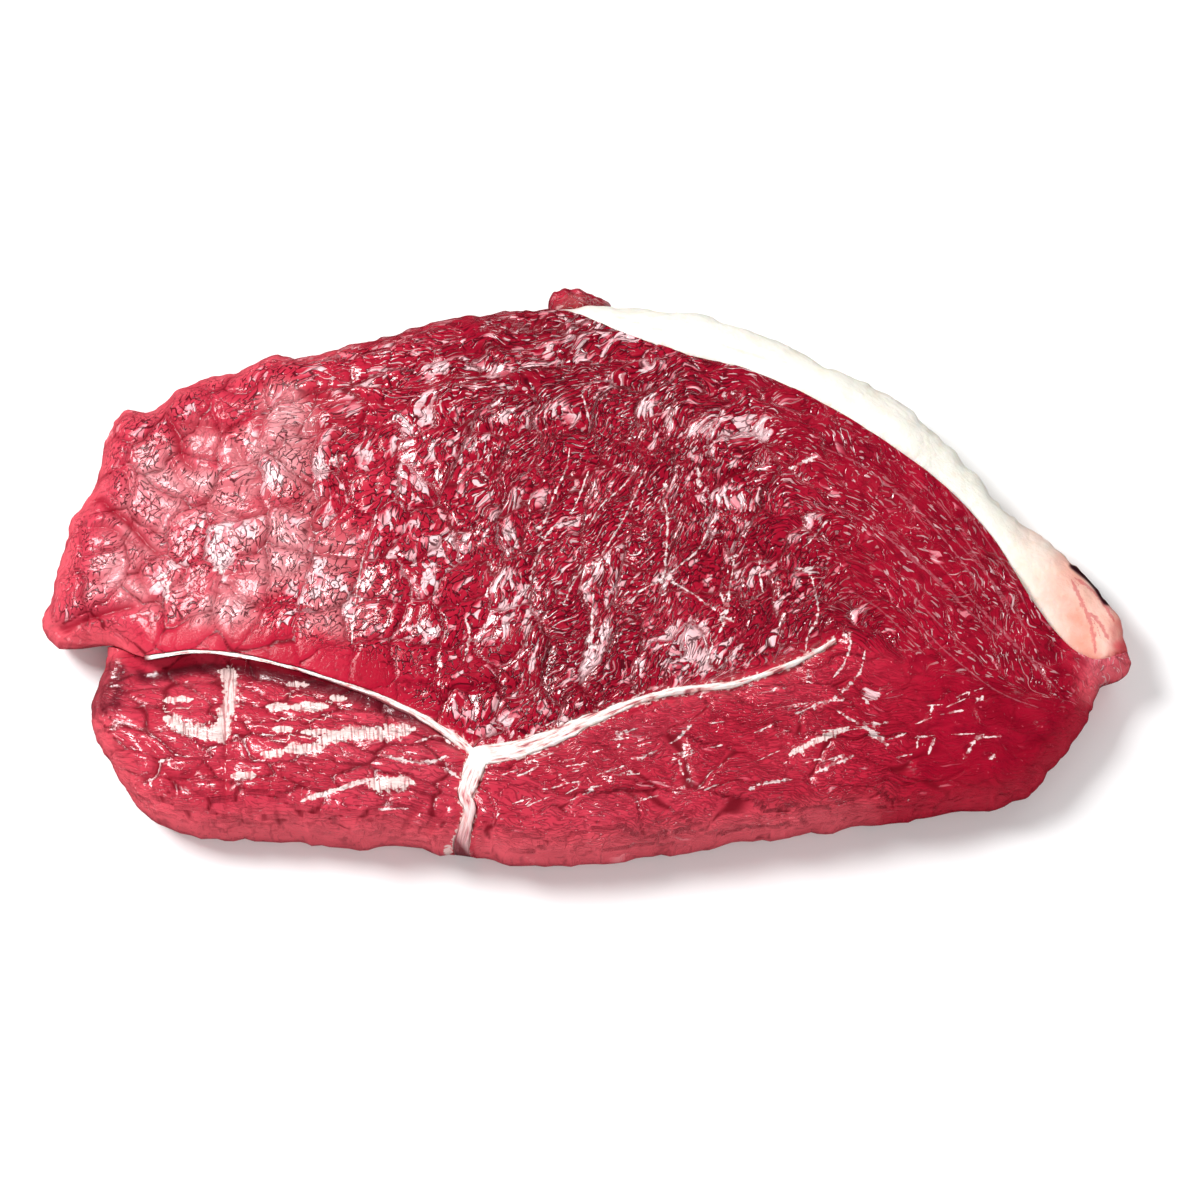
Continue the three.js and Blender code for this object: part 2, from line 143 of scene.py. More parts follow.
SEAM_LEFT = [(-80.5, -19.2), (-70.1, -17.9), (-57.3, -19.8), (-35.5, -26.7), (-24.5, -32.8), SEAM_KNOT]
SEAM_RIGHT = [SEAM_KNOT, (-11.9, -35.4), (13.3, -25.4), (27.8, -23.2), (40.5, -18.2), (45.1, -15.4)]
SEAM_FOOT = [SEAM_KNOT, (-21.6, -43.6), (-21, -46.7), (-24.6, -58)]
LOBE_GAP = [(-104, -18), (-93, -17.8), (-87, -17.2), SEAM_LEFT[0]]  # open air under the lobe

# ---- The photograph's camera ---------------------------------------------------------------------

TILT = math.radians(15)  # off straight down, leaning back towards the front of the steak
LENS = 100
SENSOR = 36
FRAME_PIXELS = 1200
PIXEL = 0.185  # millimetres covered by a pixel at the aim
FOCUS_PIXELS = FRAME_PIXELS * LENS / SENSOR
DISTANCE = PIXEL * FOCUS_PIXELS
AIM = np.array((2.61, -6.3, 10.0))
EYE = AIM + DISTANCE * np.array((0, -math.sin(TILT), math.cos(TILT)))


def on_top(pixels, height=FACE):
    """Pixels of the photograph, put on the level plane at that height: each one's ray from the eye is
    followed until it is `height` above the table. The result is in the plan."""
    across, down = (np.array(pixels, float).T - FRAME_PIXELS / 2) / FOCUS_PIXELS
    forward = np.array((0, math.sin(TILT), -math.cos(TILT)))
    up = np.array((0, math.cos(TILT), math.sin(TILT)))
    rays = forward + np.outer(across, (1, 0, 0)) - np.outer(down, up)
    reach = (height - EYE[2]) / rays[:, 2]
    return EYE[:2] + rays[:, :2] * reach[:, None] + PLAN_CENTRE


# Creases of the steak's face: depth and half width in mm, and the pixels that they run through, across
# and down in turn. A last number, where a row has one, is the height of that place.
CREASES = [
    # between the ragged lobes at the left end
    (1.5, 1.3, [78, 497, 97, 493, 107, 503, 125, 517, 150, 545, 165, 556]),
    (1.0, 1.1, [80, 524, 107, 524, 124, 535, 149, 546, 166, 557]),
    (0.9, 0.8, [130, 548, 140, 575, 152, 597, 165, 606]),
    (1.4, 1.1, [46, 628, 65, 622, 90, 612, 114, 606, 140, 602]),
    (0.8, 0.7, [118, 560, 100, 575, 84, 570]), (0.9, 0.8, [110, 455, 125, 470, 128, 492]),
    (0.9, 0.8, [112, 466, 104, 478, 118, 505]), (1.2, 1.2, [165, 412, 176, 432, 183, 458, 200, 470]),
    (1.0, 0.9, [165, 445, 180, 478, 205, 498, 222, 512, 250, 520]),
    # between the large bundles of the middle left
    (1.0, 1.0, [172, 419, 205, 425, 240, 428]), (0.9, 0.9, [255, 440, 290, 447, 322, 446, 350, 436]),
    (1.0, 0.9, [232, 437, 243, 460, 262, 472, 246, 486]),
    (0.8, 0.8, [205, 490, 226, 486, 252, 486, 270, 500]),
    (0.9, 0.8, [270, 500, 308, 520, 310, 548, 350, 556]),
    (0.8, 0.8, [308, 520, 330, 500, 345, 478, 372, 455]),
    (0.9, 0.8, [214, 575, 250, 572, 290, 575, 322, 560]), (0.8, 0.8, [140, 560, 150, 530, 162, 525]),
    (0.7, 0.8, [210, 630, 215, 600, 232, 585]), (0.7, 0.8, [240, 625, 262, 604, 300, 590]),
    # the smooth channels of the middle
    (0.8, 1.1, [484, 452, 508, 470, 540, 466, 580, 468, 616, 468, 640, 460]),
    (0.7, 1.0, [590, 425, 614, 440, 650, 456, 664, 470]),
    (0.7, 1.0, [664, 470, 700, 478, 760, 476, 800, 480]),
    (0.6, 0.9, [664, 585, 690, 596, 712, 612, 724, 618]),
    (0.6, 0.9, [700, 548, 720, 556, 745, 552, 800, 548, 830, 530]),
    (0.6, 0.9, [620, 580, 640, 586, 660, 582]),
    # the soft diagonal creases of the lower right muscle
    (0.8, 1.4, [540, 735, 570, 755, 610, 785]), (0.7, 1.4, [600, 740, 640, 765, 680, 800]),
    (0.7, 1.4, [660, 715, 720, 735, 770, 765]), (0.6, 1.3, [700, 700, 745, 722, 800, 750]),
    (0.6, 1.3, [520, 760, 560, 795, 600, 815]),
    # the lobes at the front of the lower muscle
    (1.0, 1.0, [178, 790, 196, 775, 225, 768, 240, 750], 15),
    (0.9, 0.9, [140, 738, 160, 760, 150, 790], 15),
    (1.0, 1.0, [228, 650, 227, 745, 226, 790, 230, 822], 16),
    (0.8, 0.8, [305, 790, 300, 815, 310, 840], 15),
    (0.8, 0.7, [145, 800, 150, 782, 168, 779, 180, 792, 172, 812], 12),
    (1.0, 0.9, [400, 843, 410, 825, 428, 808], 14), (0.9, 0.9, [422, 850, 436, 828, 450, 812], 14),
]
# Long folds of the back edge, in the same way.
BACK_FOLDS = [
    (1.0, 1.3, [289, 394, 333, 402, 394, 406, 432, 408, 470, 400]),
    (0.9, 1.2, [346, 360, 390, 366, 432, 362, 470, 354, 528, 350, 580, 356]),
    (1.0, 1.2, [384, 386, 413, 390, 451, 379, 499, 375, 528, 379, 570, 372]),
    (0.8, 1.1, [430, 340, 480, 334, 530, 330]), (1.0, 1.2, [268, 420, 310, 432, 350, 422, 400, 428]),
    (0.8, 1.2, [470, 432, 520, 436, 575, 424, 640, 416]),
    (0.7, 1.2, [430, 452, 470, 462, 520, 466, 560, 470]),
]
# White flecks of connective tissue: each stroke's half width in mm, its pixels and a height.
FLECKS = [
    # the large star in the middle
    (0.6, [656, 584, 664, 582, 671, 579]), (0.35, [664, 574, 664, 590]),
    (0.17, [664, 582, 666, 555, 667, 533, 666, 511, 662, 500]),
    (0.16, [664, 582, 648, 589, 637, 597, 631, 606]),
    (0.14, [664, 582, 681, 567, 698, 551, 712, 525, 720, 514]),
    (0.13, [664, 582, 690, 594, 706, 606, 724, 617]), (0.12, [664, 582, 665, 602]),
    # the smaller ones round it
    (0.55, [719, 622, 726, 619, 732, 623]), (0.14, [726, 619, 724, 606, 720, 594]),
    (0.45, [730, 560, 738, 558]), (0.14, [734, 560, 732, 574, 729, 594, 727, 617]),
    (0.3, [757, 556, 760, 563]), (0.14, [759, 560, 759, 570, 760, 583, 763, 596]),
    (0.45, [804, 574, 812, 570]), (0.16, [809, 572, 814, 592, 817, 620, 808, 636, 805, 653]),
    (0.14, [809, 572, 794, 571]), (0.42, [592, 567, 601, 564]),
    (0.13, [597, 565, 606, 550, 623, 522, 637, 494, 648, 470]), (0.45, [531, 534, 540, 532]),
    (0.14, [536, 532, 544, 525, 556, 494, 566, 472, 570, 450]),
    (0.14, [525, 602, 532, 576, 538, 556, 546, 539, 562, 520]), (0.12, [589, 472, 581, 494, 572, 514]),
    (0.12, [587, 530, 603, 506, 620, 492, 639, 469]), (0.55, [584, 641, 592, 646, 598, 652]),
    (0.14, [592, 644, 592, 617, 594, 589]), (0.12, [564, 606, 576, 581, 587, 567]),
    (0.3, [789, 471, 802, 466, 816, 459]), (0.16, [806, 547, 818, 534, 829, 519]),
    (0.14, [582, 398, 586, 412, 590, 426]), (0.3, [697, 468, 700, 492]), (0.3, [664, 486, 670, 496]),
    (0.16, [632, 700, 648, 690, 668, 686]), (0.14, [704, 668, 716, 640, 726, 622]),
    # the left part
    (0.4, [162, 572, 167, 585, 165, 600]), (0.5, [212, 571, 226, 567]),
    (0.35, [345, 458, 334, 462, 318, 472]), (0.11, [352, 650, 354, 620, 358, 590, 364, 556]),
    (0.1, [356, 610, 370, 590, 378, 574]), (0.2, [464, 662, 470, 640, 466, 620]),
    # the marks of the right part
    (0.16, [846, 632, 850, 645, 842, 668, 832, 680]), (0.3, [842, 637, 851, 634]),
    (0.22, [865, 650, 860, 672, 842, 694, 814, 712]), (0.4, [868, 705, 863, 700]),
    (0.45, [864, 729, 874, 735, 880, 741]), (0.22, [836, 712, 858, 724, 883, 724]),
    (0.22, [876, 735, 885, 742, 887, 750]), (0.3, [816, 773, 836, 764, 853, 757]),
    (0.22, [743, 793, 764, 785, 792, 780]), (0.35, [976, 701, 983, 695]),
    (0.25, [964, 757, 974, 742, 984, 732]), (0.3, [990, 757, 996, 752]),
    (0.22, [929, 753, 932, 744, 936, 737]), (0.2, [931, 712, 932, 706]), (0.2, [917, 747, 918, 740]),
    (0.25, [669, 745, 680, 738, 692, 725]), (0.2, [630, 759, 644, 758]), (0.18, [678, 760, 683, 776]),
    (0.2, [908, 806, 914, 803]),
    # the fibres that fan out to the left of the knot
    (0.3, [383, 757, 403, 763, 433, 765, 446, 758], 17), (0.3, [444, 772, 452, 775, 462, 782], 17),
    (0.2, [300, 806, 337, 796, 373, 784], 15), (0.2, [380, 814, 410, 813], 15),
    (0.25, [160, 764, 168, 762, 172, 770], 14), (0.16, [415, 745, 440, 738, 455, 748], 17),
]
# Thin films of the same tissue, in the same way, whose pale colour is partly painted sheen where they
# glisten.
FILMS_WITH_SHEEN = [
    (1.5, [219, 668, 227, 671, 231, 680], 16), (1.4, [229, 674, 231, 696, 228, 716], 16),
    (1.5, [227, 706, 225, 724, 223, 743], 15), (1.4, [166, 719, 190, 731, 224, 740], 15),
    (0.7, [163, 699, 192, 699], 15), (0.85, [268, 708, 290, 709], 16), (1.0, [292, 709, 328, 709], 16),
    (0.6, [331, 700, 347, 700], 16), (0.6, [287, 684, 308, 684], 16), (0.7, [275, 732, 293, 732], 16),
    (0.5, [303, 735, 330, 735], 16), (1.4, [322, 744, 350, 737, 380, 737, 414, 733], 16),
    (0.8, [263, 757, 284, 757], 16), (1.1, [287, 752, 324, 752], 16), (0.7, [233, 779, 257, 779], 15),
    (0.5, [302, 805, 337, 795, 375, 783], 15), (1.3, [372, 789, 413, 786], 16),
    (0.6, [789, 756, 812, 745, 848, 730], 18),
]
# Places where painted sheen lies pale over the bundles, standing in for the glare off the film of
# juice: the middle in pixels, the half widths in pixels, and the strength.
PAINTED_SHEEN_PATCHES = [
    (682, 645, 56, 34, 0.7), (722, 430, 66, 22, 0.6), (566, 522, 18, 20, 0.8), (600, 670, 60, 22, 0.7),
    (200, 556, 50, 48, 0.6), (246, 468, 50, 40, 0.55), (160, 582, 20, 34, 0.65),
    (330, 610, 60, 60, 0.4), (236, 520, 44, 28, 0.5), (318, 466, 12, 18, 0.8), (520, 620, 34, 30, 0.5),
    (740, 565, 34, 34, 0.45), (872, 696, 9, 8, 0.6), (440, 368, 12, 12, 0.6), (630, 410, 26, 12, 0.6),
    (345, 545, 40, 30, 0.45),
]
# Red veins in the pink end of the fat.
FAT_VEINS = [
    [1071, 580, 1080, 600, 1090, 625, 1095, 655], [1075, 577, 1090, 586, 1102, 597, 1115, 620],
    [1085, 612, 1098, 622, 1108, 640],
]
# The thin film along the fat's inner edge, and the dark strip on its outside.
FAT_FILM = [617, 319, 652, 333, 701, 346, 785, 367]
FAT_DARK_EDGE = [1072, 570, 1092, 584, 1104, 604]
# Pale curved lines of thin tissue in the smooth lean beside the fat.
THREADS = [
    [815, 448, 862, 470, 900, 500, 930, 535], [800, 505, 845, 515, 880, 535, 920, 565, 952, 590],
    [895, 491, 925, 520, 960, 560, 989, 599], [870, 520, 905, 556, 945, 585, 965, 605],
    [887, 530, 930, 575, 975, 615, 1006, 640], [862, 560, 905, 590, 945, 630, 985, 662],
    [960, 500, 1000, 556, 1030, 610], [845, 590, 880, 612, 925, 655],
    [905, 470, 940, 505, 985, 570, 1012, 618], [925, 512, 970, 556, 1015, 610, 1040, 650],
    [935, 560, 985, 612, 1030, 655, 1062, 672], [905, 610, 950, 655, 1000, 690, 1040, 705],
    [975, 600, 1020, 645, 1060, 690],
]


# ---- Curves and distances ------------------------------------------------------------------------

def curve(points, spacing=SPACING):
    """A smooth line through the points, sampled evenly along its length. Between two points it is the
    cubic whose slopes come from the neighbouring points, with each step's share of the parameter the
    square root of its length (a centripetal Catmull-Rom curve)."""
    p = np.array(points, float)
    p = np.vstack((2 * p[0] - p[1], p, 2 * p[-1] - p[-2]))
    steps = np.sqrt(np.linalg.norm(np.diff(p, axis=0), axis=1))[:, None]
    before, here, after = steps[:-2], steps[1:-1], steps[2:]
    a, b, c, d = p[:-3], p[1:-2], p[2:-1], p[3:]
    slope_b = ((b - a) / before - (c - a) / (before + here) + (c - b) / here) * here
    slope_c = ((c - b) / here - (d - b) / (here + after) + (d - c) / after) * here
    t = np.linspace(0, 1, 24, endpoint=False)[:, None, None]
    line = (
        b + t * slope_b + t**2 * (3 * (c - b) - 2 * slope_b - slope_c)
        + t**3 * (2 * (b - c) + slope_b + slope_c)
    )
    line = np.vstack((line.transpose(1, 0, 2).reshape(-1, 2), p[-2]))
    run = np.concatenate(([0], np.cumsum(np.linalg.norm(np.diff(line, axis=0), axis=1))))
    even = np.linspace(0, run[-1], max(int(math.ceil(run[-1] / spacing)), 2) + 1)
    return np.column_stack((np.interp(even, run, line[:, 0]), np.interp(even, run, line[:, 1])))


def foot_on(line, x, y):
    """The way from every (x, y) to the nearest point of a line, as across and up, and the share of the
    way along the line to that point: each piece of the line gives the foot of a perpendicular, held
    between its ends, and the closest foot wins."""
    best = np.full(x.shape, np.inf)
    along, across, up = np.zeros(x.shape), np.zeros(x.shape), np.zeros(x.shape)
    for k, (start, step) in enumerate(zip(line[:-1], np.diff(line, axis=0))):
        t = np.clip(((x - start[0]) * step[0] + (y - start[1]) * step[1]) / (step @ step), 0, 1)
        to_x, to_y = start[0] + t * step[0] - x, start[1] + t * step[1] - y
        far = to_x**2 + to_y**2
        closer = far < best
        best = np.where(closer, far, best)
        along = np.where(closer, (k + t) / (len(line) - 1), along)
        across, up = np.where(closer, to_x, across), np.where(closer, to_y, up)
    return across, up, along


def nearest(line, x, y):
    """Distance from every (x, y) to a line, and the share of the way along it."""
    across, up, along = foot_on(line, x, y)
    return np.hypot(across, up), along


def smooth(t):
    """The smooth step from 0 to 1: three times t squared less twice t cubed."""
    t = np.clip(t, 0, 1)
    return t * t * (3 - 2 * t)


def bell(far, width):
    """A bell curve of a distance, 1 at 0 and small beyond twice the width."""
    return np.exp(-((far / width) ** 2))


def draw(i, j, channel):
    """A number from 0 to 1 that depends only on a lattice cell and a channel."""
    s = np.sin(i * 127.1 + j * 311.7 + channel * 74.7) * 43758.5453
    return s - np.floor(s)


def noise(x, y, channel):
    """Smooth noise from -1 to 1: lattice values blended with a smooth step."""
    i, j = np.floor(x), np.floor(y)
    a, b = smooth(x - i), smooth(y - j)
    low = draw(i, j, channel) * (1 - a) + draw(i + 1, j, channel) * a
    high = draw(i, j + 1, channel) * (1 - a) + draw(i + 1, j + 1, channel) * a
    return 2 * (low * (1 - b) + high * b) - 1


def clouds(x, y, size, channel, octaves=3):
    """Noise at a size in mm with finer, weaker noise added, from about -1 to 1."""
    total = 0
    for k in range(octaves):
        total = total + noise(x * 2**k / size, y * 2**k / size, channel + 7 * k) / 2**k
    return total / 1.6


def bundles(x, y, size, stretch, angle, channel):
    """Distances in mm from every (x, y) to the cracks between bundles of fibres. Seeds lie one to a
    lattice cell, off its border so that no two meet; distance to a seed is shortened along the grain
    by `stretch` and lengthened across it. The first result is half the difference of the two nearest
    seeds' distances, so it is 0 on a crack; the second is a random number for the nearest seed; the
    third is how high a flat top stands there that tips in a random direction, by up to 1 for each mm
    from the seed; the last two are the way to the seed."""
    i, j = np.floor(x / size), np.floor(y / size)
    c, s = np.cos(angle), np.sin(angle)
    ease = np.sqrt(stretch)
    room = 1 - 2 * SEED_BORDER
    first, second = np.full(x.shape, np.inf), np.full(x.shape, np.inf)
    name, tip, across, up = (np.zeros(x.shape) for _ in range(4))
    for di in range(-3, 4):
        for dj in range(-3, 4):
            a, b = i + di, j + dj
            dx = (a + SEED_BORDER + room * draw(a, b, channel)) * size - x
            dy = (b + SEED_BORDER + room * draw(a, b, channel + 1)) * size - y
            far = np.hypot((dx * c + dy * s) / ease, (-dx * s + dy * c) * ease)
            closer = far < first
            second = np.where(closer, first, np.minimum(second, far))
            slope_x, slope_y = 2 * draw(a, b, channel + 3) - 1, 2 * draw(a, b, channel + 4) - 1
            name = np.where(closer, draw(a, b, channel + 2), name)
            tip = np.where(closer, dx * slope_x + dy * slope_y, tip)
            across, up = np.where(closer, dx, across), np.where(closer, dy, up)
            first = np.where(closer, far, first)
    return (second - first) / 2, name, tip, across, up


# ---- Fields over the plan ------------------------------------------------------------------------

def outline(plan):
    """The whole outline in one round: the north and west sides are listed the other way about."""
    sides = {side: curve(points) for side, points in plan.items()}
    return np.vstack((sides["south"], sides["east"], sides["north"][::-1], sides["west"][::-1]))


UPPER_EDGE = outline(UPPER_PLAN)
LOWER_EDGE = outline(LOWER_PLAN)
BACK_EDGE = curve(UPPER_PLAN["north"])
FAT_EDGE = curve(FAT_LINE)
UNDER_LINE = curve(LOBE_GAP + SEAM_LEFT[1:], 3)
SEAMS = [curve(points) for points in (SEAM_LEFT, SEAM_RIGHT, SEAM_FOOT)]


def strokes(rows):
    """The lines of a list of marks, each as its leading numbers and its curve in the plan."""
    made = []
    for row in rows:
        at = next(k for k, part in enumerate(row) if isinstance(part, list))
        made.append((row[:at], drawn(row[at], *row[at + 1:], spacing=MARK_SPACING)))
    return made


def drawn(pixels, height=FACE, spacing=SPACING):
    """The curve in the plan through pixels that are listed across and down in turn."""
    return curve(on_top(np.reshape(pixels, (-1, 2)), height), spacing)


CREASE_LINES = strokes(CREASES) + strokes(BACK_FOLDS)
FLECK_LINES = strokes(FLECKS)
FILM_WITH_SHEEN_LINES = strokes(FILMS_WITH_SHEEN)


def front_streaks():
    """Short pale streaks scattered over the front muscle, a little steeper than its fibres: each has
    its middle, half length, slope and half width drawn for it."""
    made = []
    for k in range(STREAKS):
        x = -14 + 88 * draw(k, 1, 121)
        y = -29 - 17 * draw(k, 2, 121) + 5 * smooth((x - 5) / 30)
        reach, slope = 1 + 1.6 * draw(k, 3, 121), 0.05 + 0.4 * draw(k, 4, 121)
        step = reach * np.array((np.cos(slope), np.sin(slope)))
        middle = np.array((x, y))
        line = np.array((middle - step, middle, middle + step))
        made.append(((0.07 + 0.07 * draw(k, 5, 121),), line))
    return made


FLECK_LINES += front_streaks()
THREAD_LINES = [((THREAD,), drawn(pixels)) for pixels in THREADS]


def near_box(line, x, y, reach):
    """Which places lie within `reach` of the box round a line, as a mark is only worked out there."""
    low, high = line.min(0) - reach, line.max(0) + reach
    return (x > low[0]) & (x < high[0]) & (y > low[1]) & (y < high[1])


def slice_height(x, y):
    """Plain thickness: full in the middle, thinner towards both ends and the front."""
    left = LEFT_END_DROP * smooth((-x - 35) / 65)
    right = RIGHT_END_DROP * smooth((x - 40) / 60)
    return THICKNESS - left - right - FRONT_DROP * smooth((-y - 10) / 45)


def front_share(x, y):
    """Share of the two front muscles: 1 below the seam and the line that its right arm points along."""
    line = -24.5 + 0.36 * (np.minimum(x, 45) - 13) - 0.27 * np.clip(x - 45, 0, None)
    return smooth((line - y) / 4) * smooth((x + 24) / 6)


def fat_side_share(x, y):
    """Share of the smooth lean beside the fat, which takes over towards the pointed end."""
    return smooth((x + 0.45 * y - 34) / 22)


def left_share(x, y):
    """Share of the ragged left end, with flat-topped bundles."""
    return 1 - smooth((x + 0.2 * y + 62) / 35)


def middle_share(x, y):
    """Share of the middle, where the fibres run up to the right."""
    return smooth((x + 0.4 * y + 28) / 18) * (1 - fat_side_share(x, y))


def back_share(x, y):
    """Share of the folded band behind the back edge."""
    far, _ = nearest(BACK_EDGE, x, y)
    return (1 - smooth((far - 13) / 14)) * smooth((x + 70) / 25) * (1 - smooth((x - 25) / 25))


def grain(x, y):
    """The fibres' direction over the upper muscle, in radians: polygons at the left, then up to the
    right, then down to the right along the fat, and level in the front muscle and the back band."""
    left, middle, right = 1.1, 1.05, -0.82
    angle = left + (middle - left) * middle_share(x, y)
    angle = angle + (right - middle) * fat_side_share(x, y)
    angle = angle * (1 - back_share(x, y)) + 0.12 * back_share(x, y)
    share = front_share(x, y)
    return angle * (1 - share) - 0.1 * share


def upper_bundles(x, y):
    """Relief of the bundles over the upper muscle, in mm: flat tops that tip, rounded over towards each
    crack and sharp in it, for large bundles and for the small ones inside them. The other results are
    the distances to their cracks, their random numbers, and the way to the large one's seed."""
    warp_x = x + 2 * clouds(x, y, 6, 31)
    warp_y = y + 2 * clouds(x, y, 6, 33)
    angle = grain(x, y)
    front, right, back = front_share(x, y), fat_side_share(x, y), back_share(x, y)
    middle = middle_share(x, y)
    stretch = 1.25 + 0.9 * middle + 1.6 * right + 1.8 * back + 1.5 * front
    large, name, tip, dx, dy = bundles(warp_x, warp_y, BUNDLE, stretch, angle, 1)
    small, tone, fine_tip, _, _ = bundles(warp_x, warp_y, FINE_BUNDLE, 1 + 0.8 * stretch, angle, 11)
    depth = (0.75 - 0.25 * middle) * (1 - 0.75 * right) * (1 - 0.45 * back) * (1 - 0.25 * front)
    fine_depth = (0.15 + 0.1 * middle) * (1 - 0.75 * right) * (1 - 0.3 * front)
    left = left_share(x, y)
    calm = (1 - 0.7 * right * (1 - tip_share(x, y))) * (1 - 0.25 * front) * (1 - 0.6 * left)
    relief = calm * TIP * (1 - np.exp(-large / 0.35)) * (tip + 3 * (name - 0.5))
    relief = relief + calm * (0.3 + 0.7 * middle) * FINE_TIP * (1 - np.exp(-small / 0.4)) * fine_tip
    relief = relief - depth * np.exp(-large / 0.3) - fine_depth * np.exp(-small / 0.25)
    return relief, large, small, name, tone, dx, dy


def creases(x, y):
    """Depth in mm of the named creases and folds: a sharp valley inside a soft one."""
    depth = np.zeros(x.shape)
    for (deep, wide), line in CREASE_LINES:
        inside = near_box(line, x, y, 3 * wide)
        far, along = nearest(line, x[inside], y[inside])
        ends = smooth(along / 0.15) * smooth((1 - along) / 0.15)
        valley = 0.5 * bell(far, wide) + 0.5 * np.exp(-far / (0.45 * wide))
        depth[inside] = np.maximum(depth[inside], deep * (0.35 + 0.65 * ends) * valley)
    return depth


def seam_distance(x, y):
    return np.min([nearest(line, x, y)[0] for line in SEAMS], axis=0)


def ledge_share(x, y):
    """Share of the smooth ledge along the edge that hangs over the lower muscle."""
    far, along = nearest(SEAMS[0], x, y)
    return (1 - smooth((far - 4) / 5)) * (1 - smooth((along - 0.65) / 0.2)) * (1 - lower_share(x, y))


def upper_height(x, y):
    relief = upper_bundles(x, y)[0]
    far, along = nearest(BACK_EDGE, x, y)
    band = np.sin(np.pi * np.clip(far / FOLD_BAND, 0, 1)) * smooth((x + 75) / 30)
    folds = FOLD_RELIEF * band * noise(along * 9, far / 4.2, 11)
    ledge = ledge_share(x, y)
    groove = SEAM_GROOVE * (1 - 0.8 * ledge) * bell(seam_distance(x, y), SEAM_GROOVE_WIDTH)
    lumps = (0.4 - 0.25 * left_share(x, y)) * clouds(x, y, 14, 41)
    relief = relief * (1 - 0.65 * ledge)
    slanting = noise((0.57 * x + 0.82 * y) / 3, (0.82 * x - 0.57 * y) / 14, 29)
    lumps = lumps + FRONT_FOLD * front_share(x, y) * slanting
    return slice_height(x, y) + relief + folds + lumps - creases(x, y) - groove


def lower_bundles(x, y):
    """The same over the lower muscle, whose bundles are long lenses along it."""
    warp_x = x + 1.5 * clouds(x, y, 8, 51)
    warp_y = y + 1.2 * clouds(x, y, 8, 53)
    angle = np.full(x.shape, -0.2)
    large, name, tip, dx, dy = bundles(warp_x, warp_y, LENS_BUNDLE, 3.2, angle, 21)
    small, tone, fine_tip, _, _ = bundles(warp_x, warp_y, FINE_LENS, 3.5, angle, 31)
    relief = TIP * (1 - np.exp(-large / 0.5)) * (tip + 2 * (name - 0.5))
    relief = relief + FINE_TIP * (1 - np.exp(-small / 0.4)) * fine_tip
    relief = relief - 0.6 * np.exp(-large / 0.5) - 0.15 * np.exp(-small / 0.3)
    return relief, large, small, name, tone, dx, dy


def lower_height(x, y):
    """The lower muscle's top falls away under the overhanging edge, most at the left."""
    far, along = nearest(SEAMS[0], x, y)
    fall = STEP * (1 - 0.85 * smooth(along)) * bell(far, 9)
    groove = SEAM_GROOVE * bell(seam_distance(x, y), SEAM_GROOVE_WIDTH)
    lumps = 0.3 * clouds(x, y, 12, 61)
    return slice_height(x, y) - fall - groove + lower_bundles(x, y)[0] + lumps - creases(x, y)


def sinew_height(x, y):
    """The connective sheet stands a little above the lean's edge beside it, with a fine ripple."""
    ripple = 0.12 * clouds(x, y, 2.5, 71)
    return slice_height(x, y) - 0.5 * SEAM_GROOVE + SKIN_PROUD + ripple


def fat_height(x, y):
    """The fat is smooth but for slow dimples, small pits and a soft edge beside the lean."""
    far, _ = nearest(FAT_EDGE, x, y)
    dimples = 0.5 * noise(x / 9, y / 9, 13) + 0.22 * clouds(x, y, 2.6, 73)
    return slice_height(x, y) - FAT_STEP + dimples - 0.4 * np.exp(-far / 0.8)


# ---- Solids --------------------------------------------------------------------------------------

def grid_lines(length, rim, spacing):
    """Places of the grid lines from 0 to 1: crowded towards both ends within the rim, where the
    surface turns over, and even between."""
    turn = rim / length * (1 - np.cos(np.linspace(0, np.pi / 2, RIM_ROWS + 1)))
    count = THIN * max(int((length - 2 * rim) / spacing / THIN), 2)
    inner = np.linspace(turn[-1], 1 - turn[-1], count + 1)
    return np.concatenate((turn[:-1], inner, 1 - turn[-2::-1]))


def patch(plan, u, v):
    """The plan's inside, spanned by its four sides: the blend of south and north across plus the blend
    of west and east along, less the blend of the four corners (a Coons patch)."""
    def side(name, t):
        line = curve(plan[name], 0.4)
        share = np.linspace(0, 1, len(line))
        return np.column_stack((np.interp(t, share, line[:, 0]), np.interp(t, share, line[:, 1])))
    south, north = side("south", u)[None], side("north", u)[None]
    west, east = side("west", v)[:, None], side("east", v)[:, None]
    a, b = u[None, :, None], v[:, None, None]
    corners = (1 - a) * ((1 - b) * west[0] + b * west[-1]) + a * ((1 - b) * east[0] + b * east[-1])
    return (1 - b) * south + b * north + (1 - a) * west + a * east - corners


def equator(x, y):
    return EQUATOR + EQUATOR_SWING * noise(x / 16, y / 16, 19)


def quarter(far, radius):
    """Height of a quarter circle, from 0 at its foot to 1 at its crown."""
    return np.sqrt(1 - (1 - np.clip(far / radius, 0, 1)) ** 2)


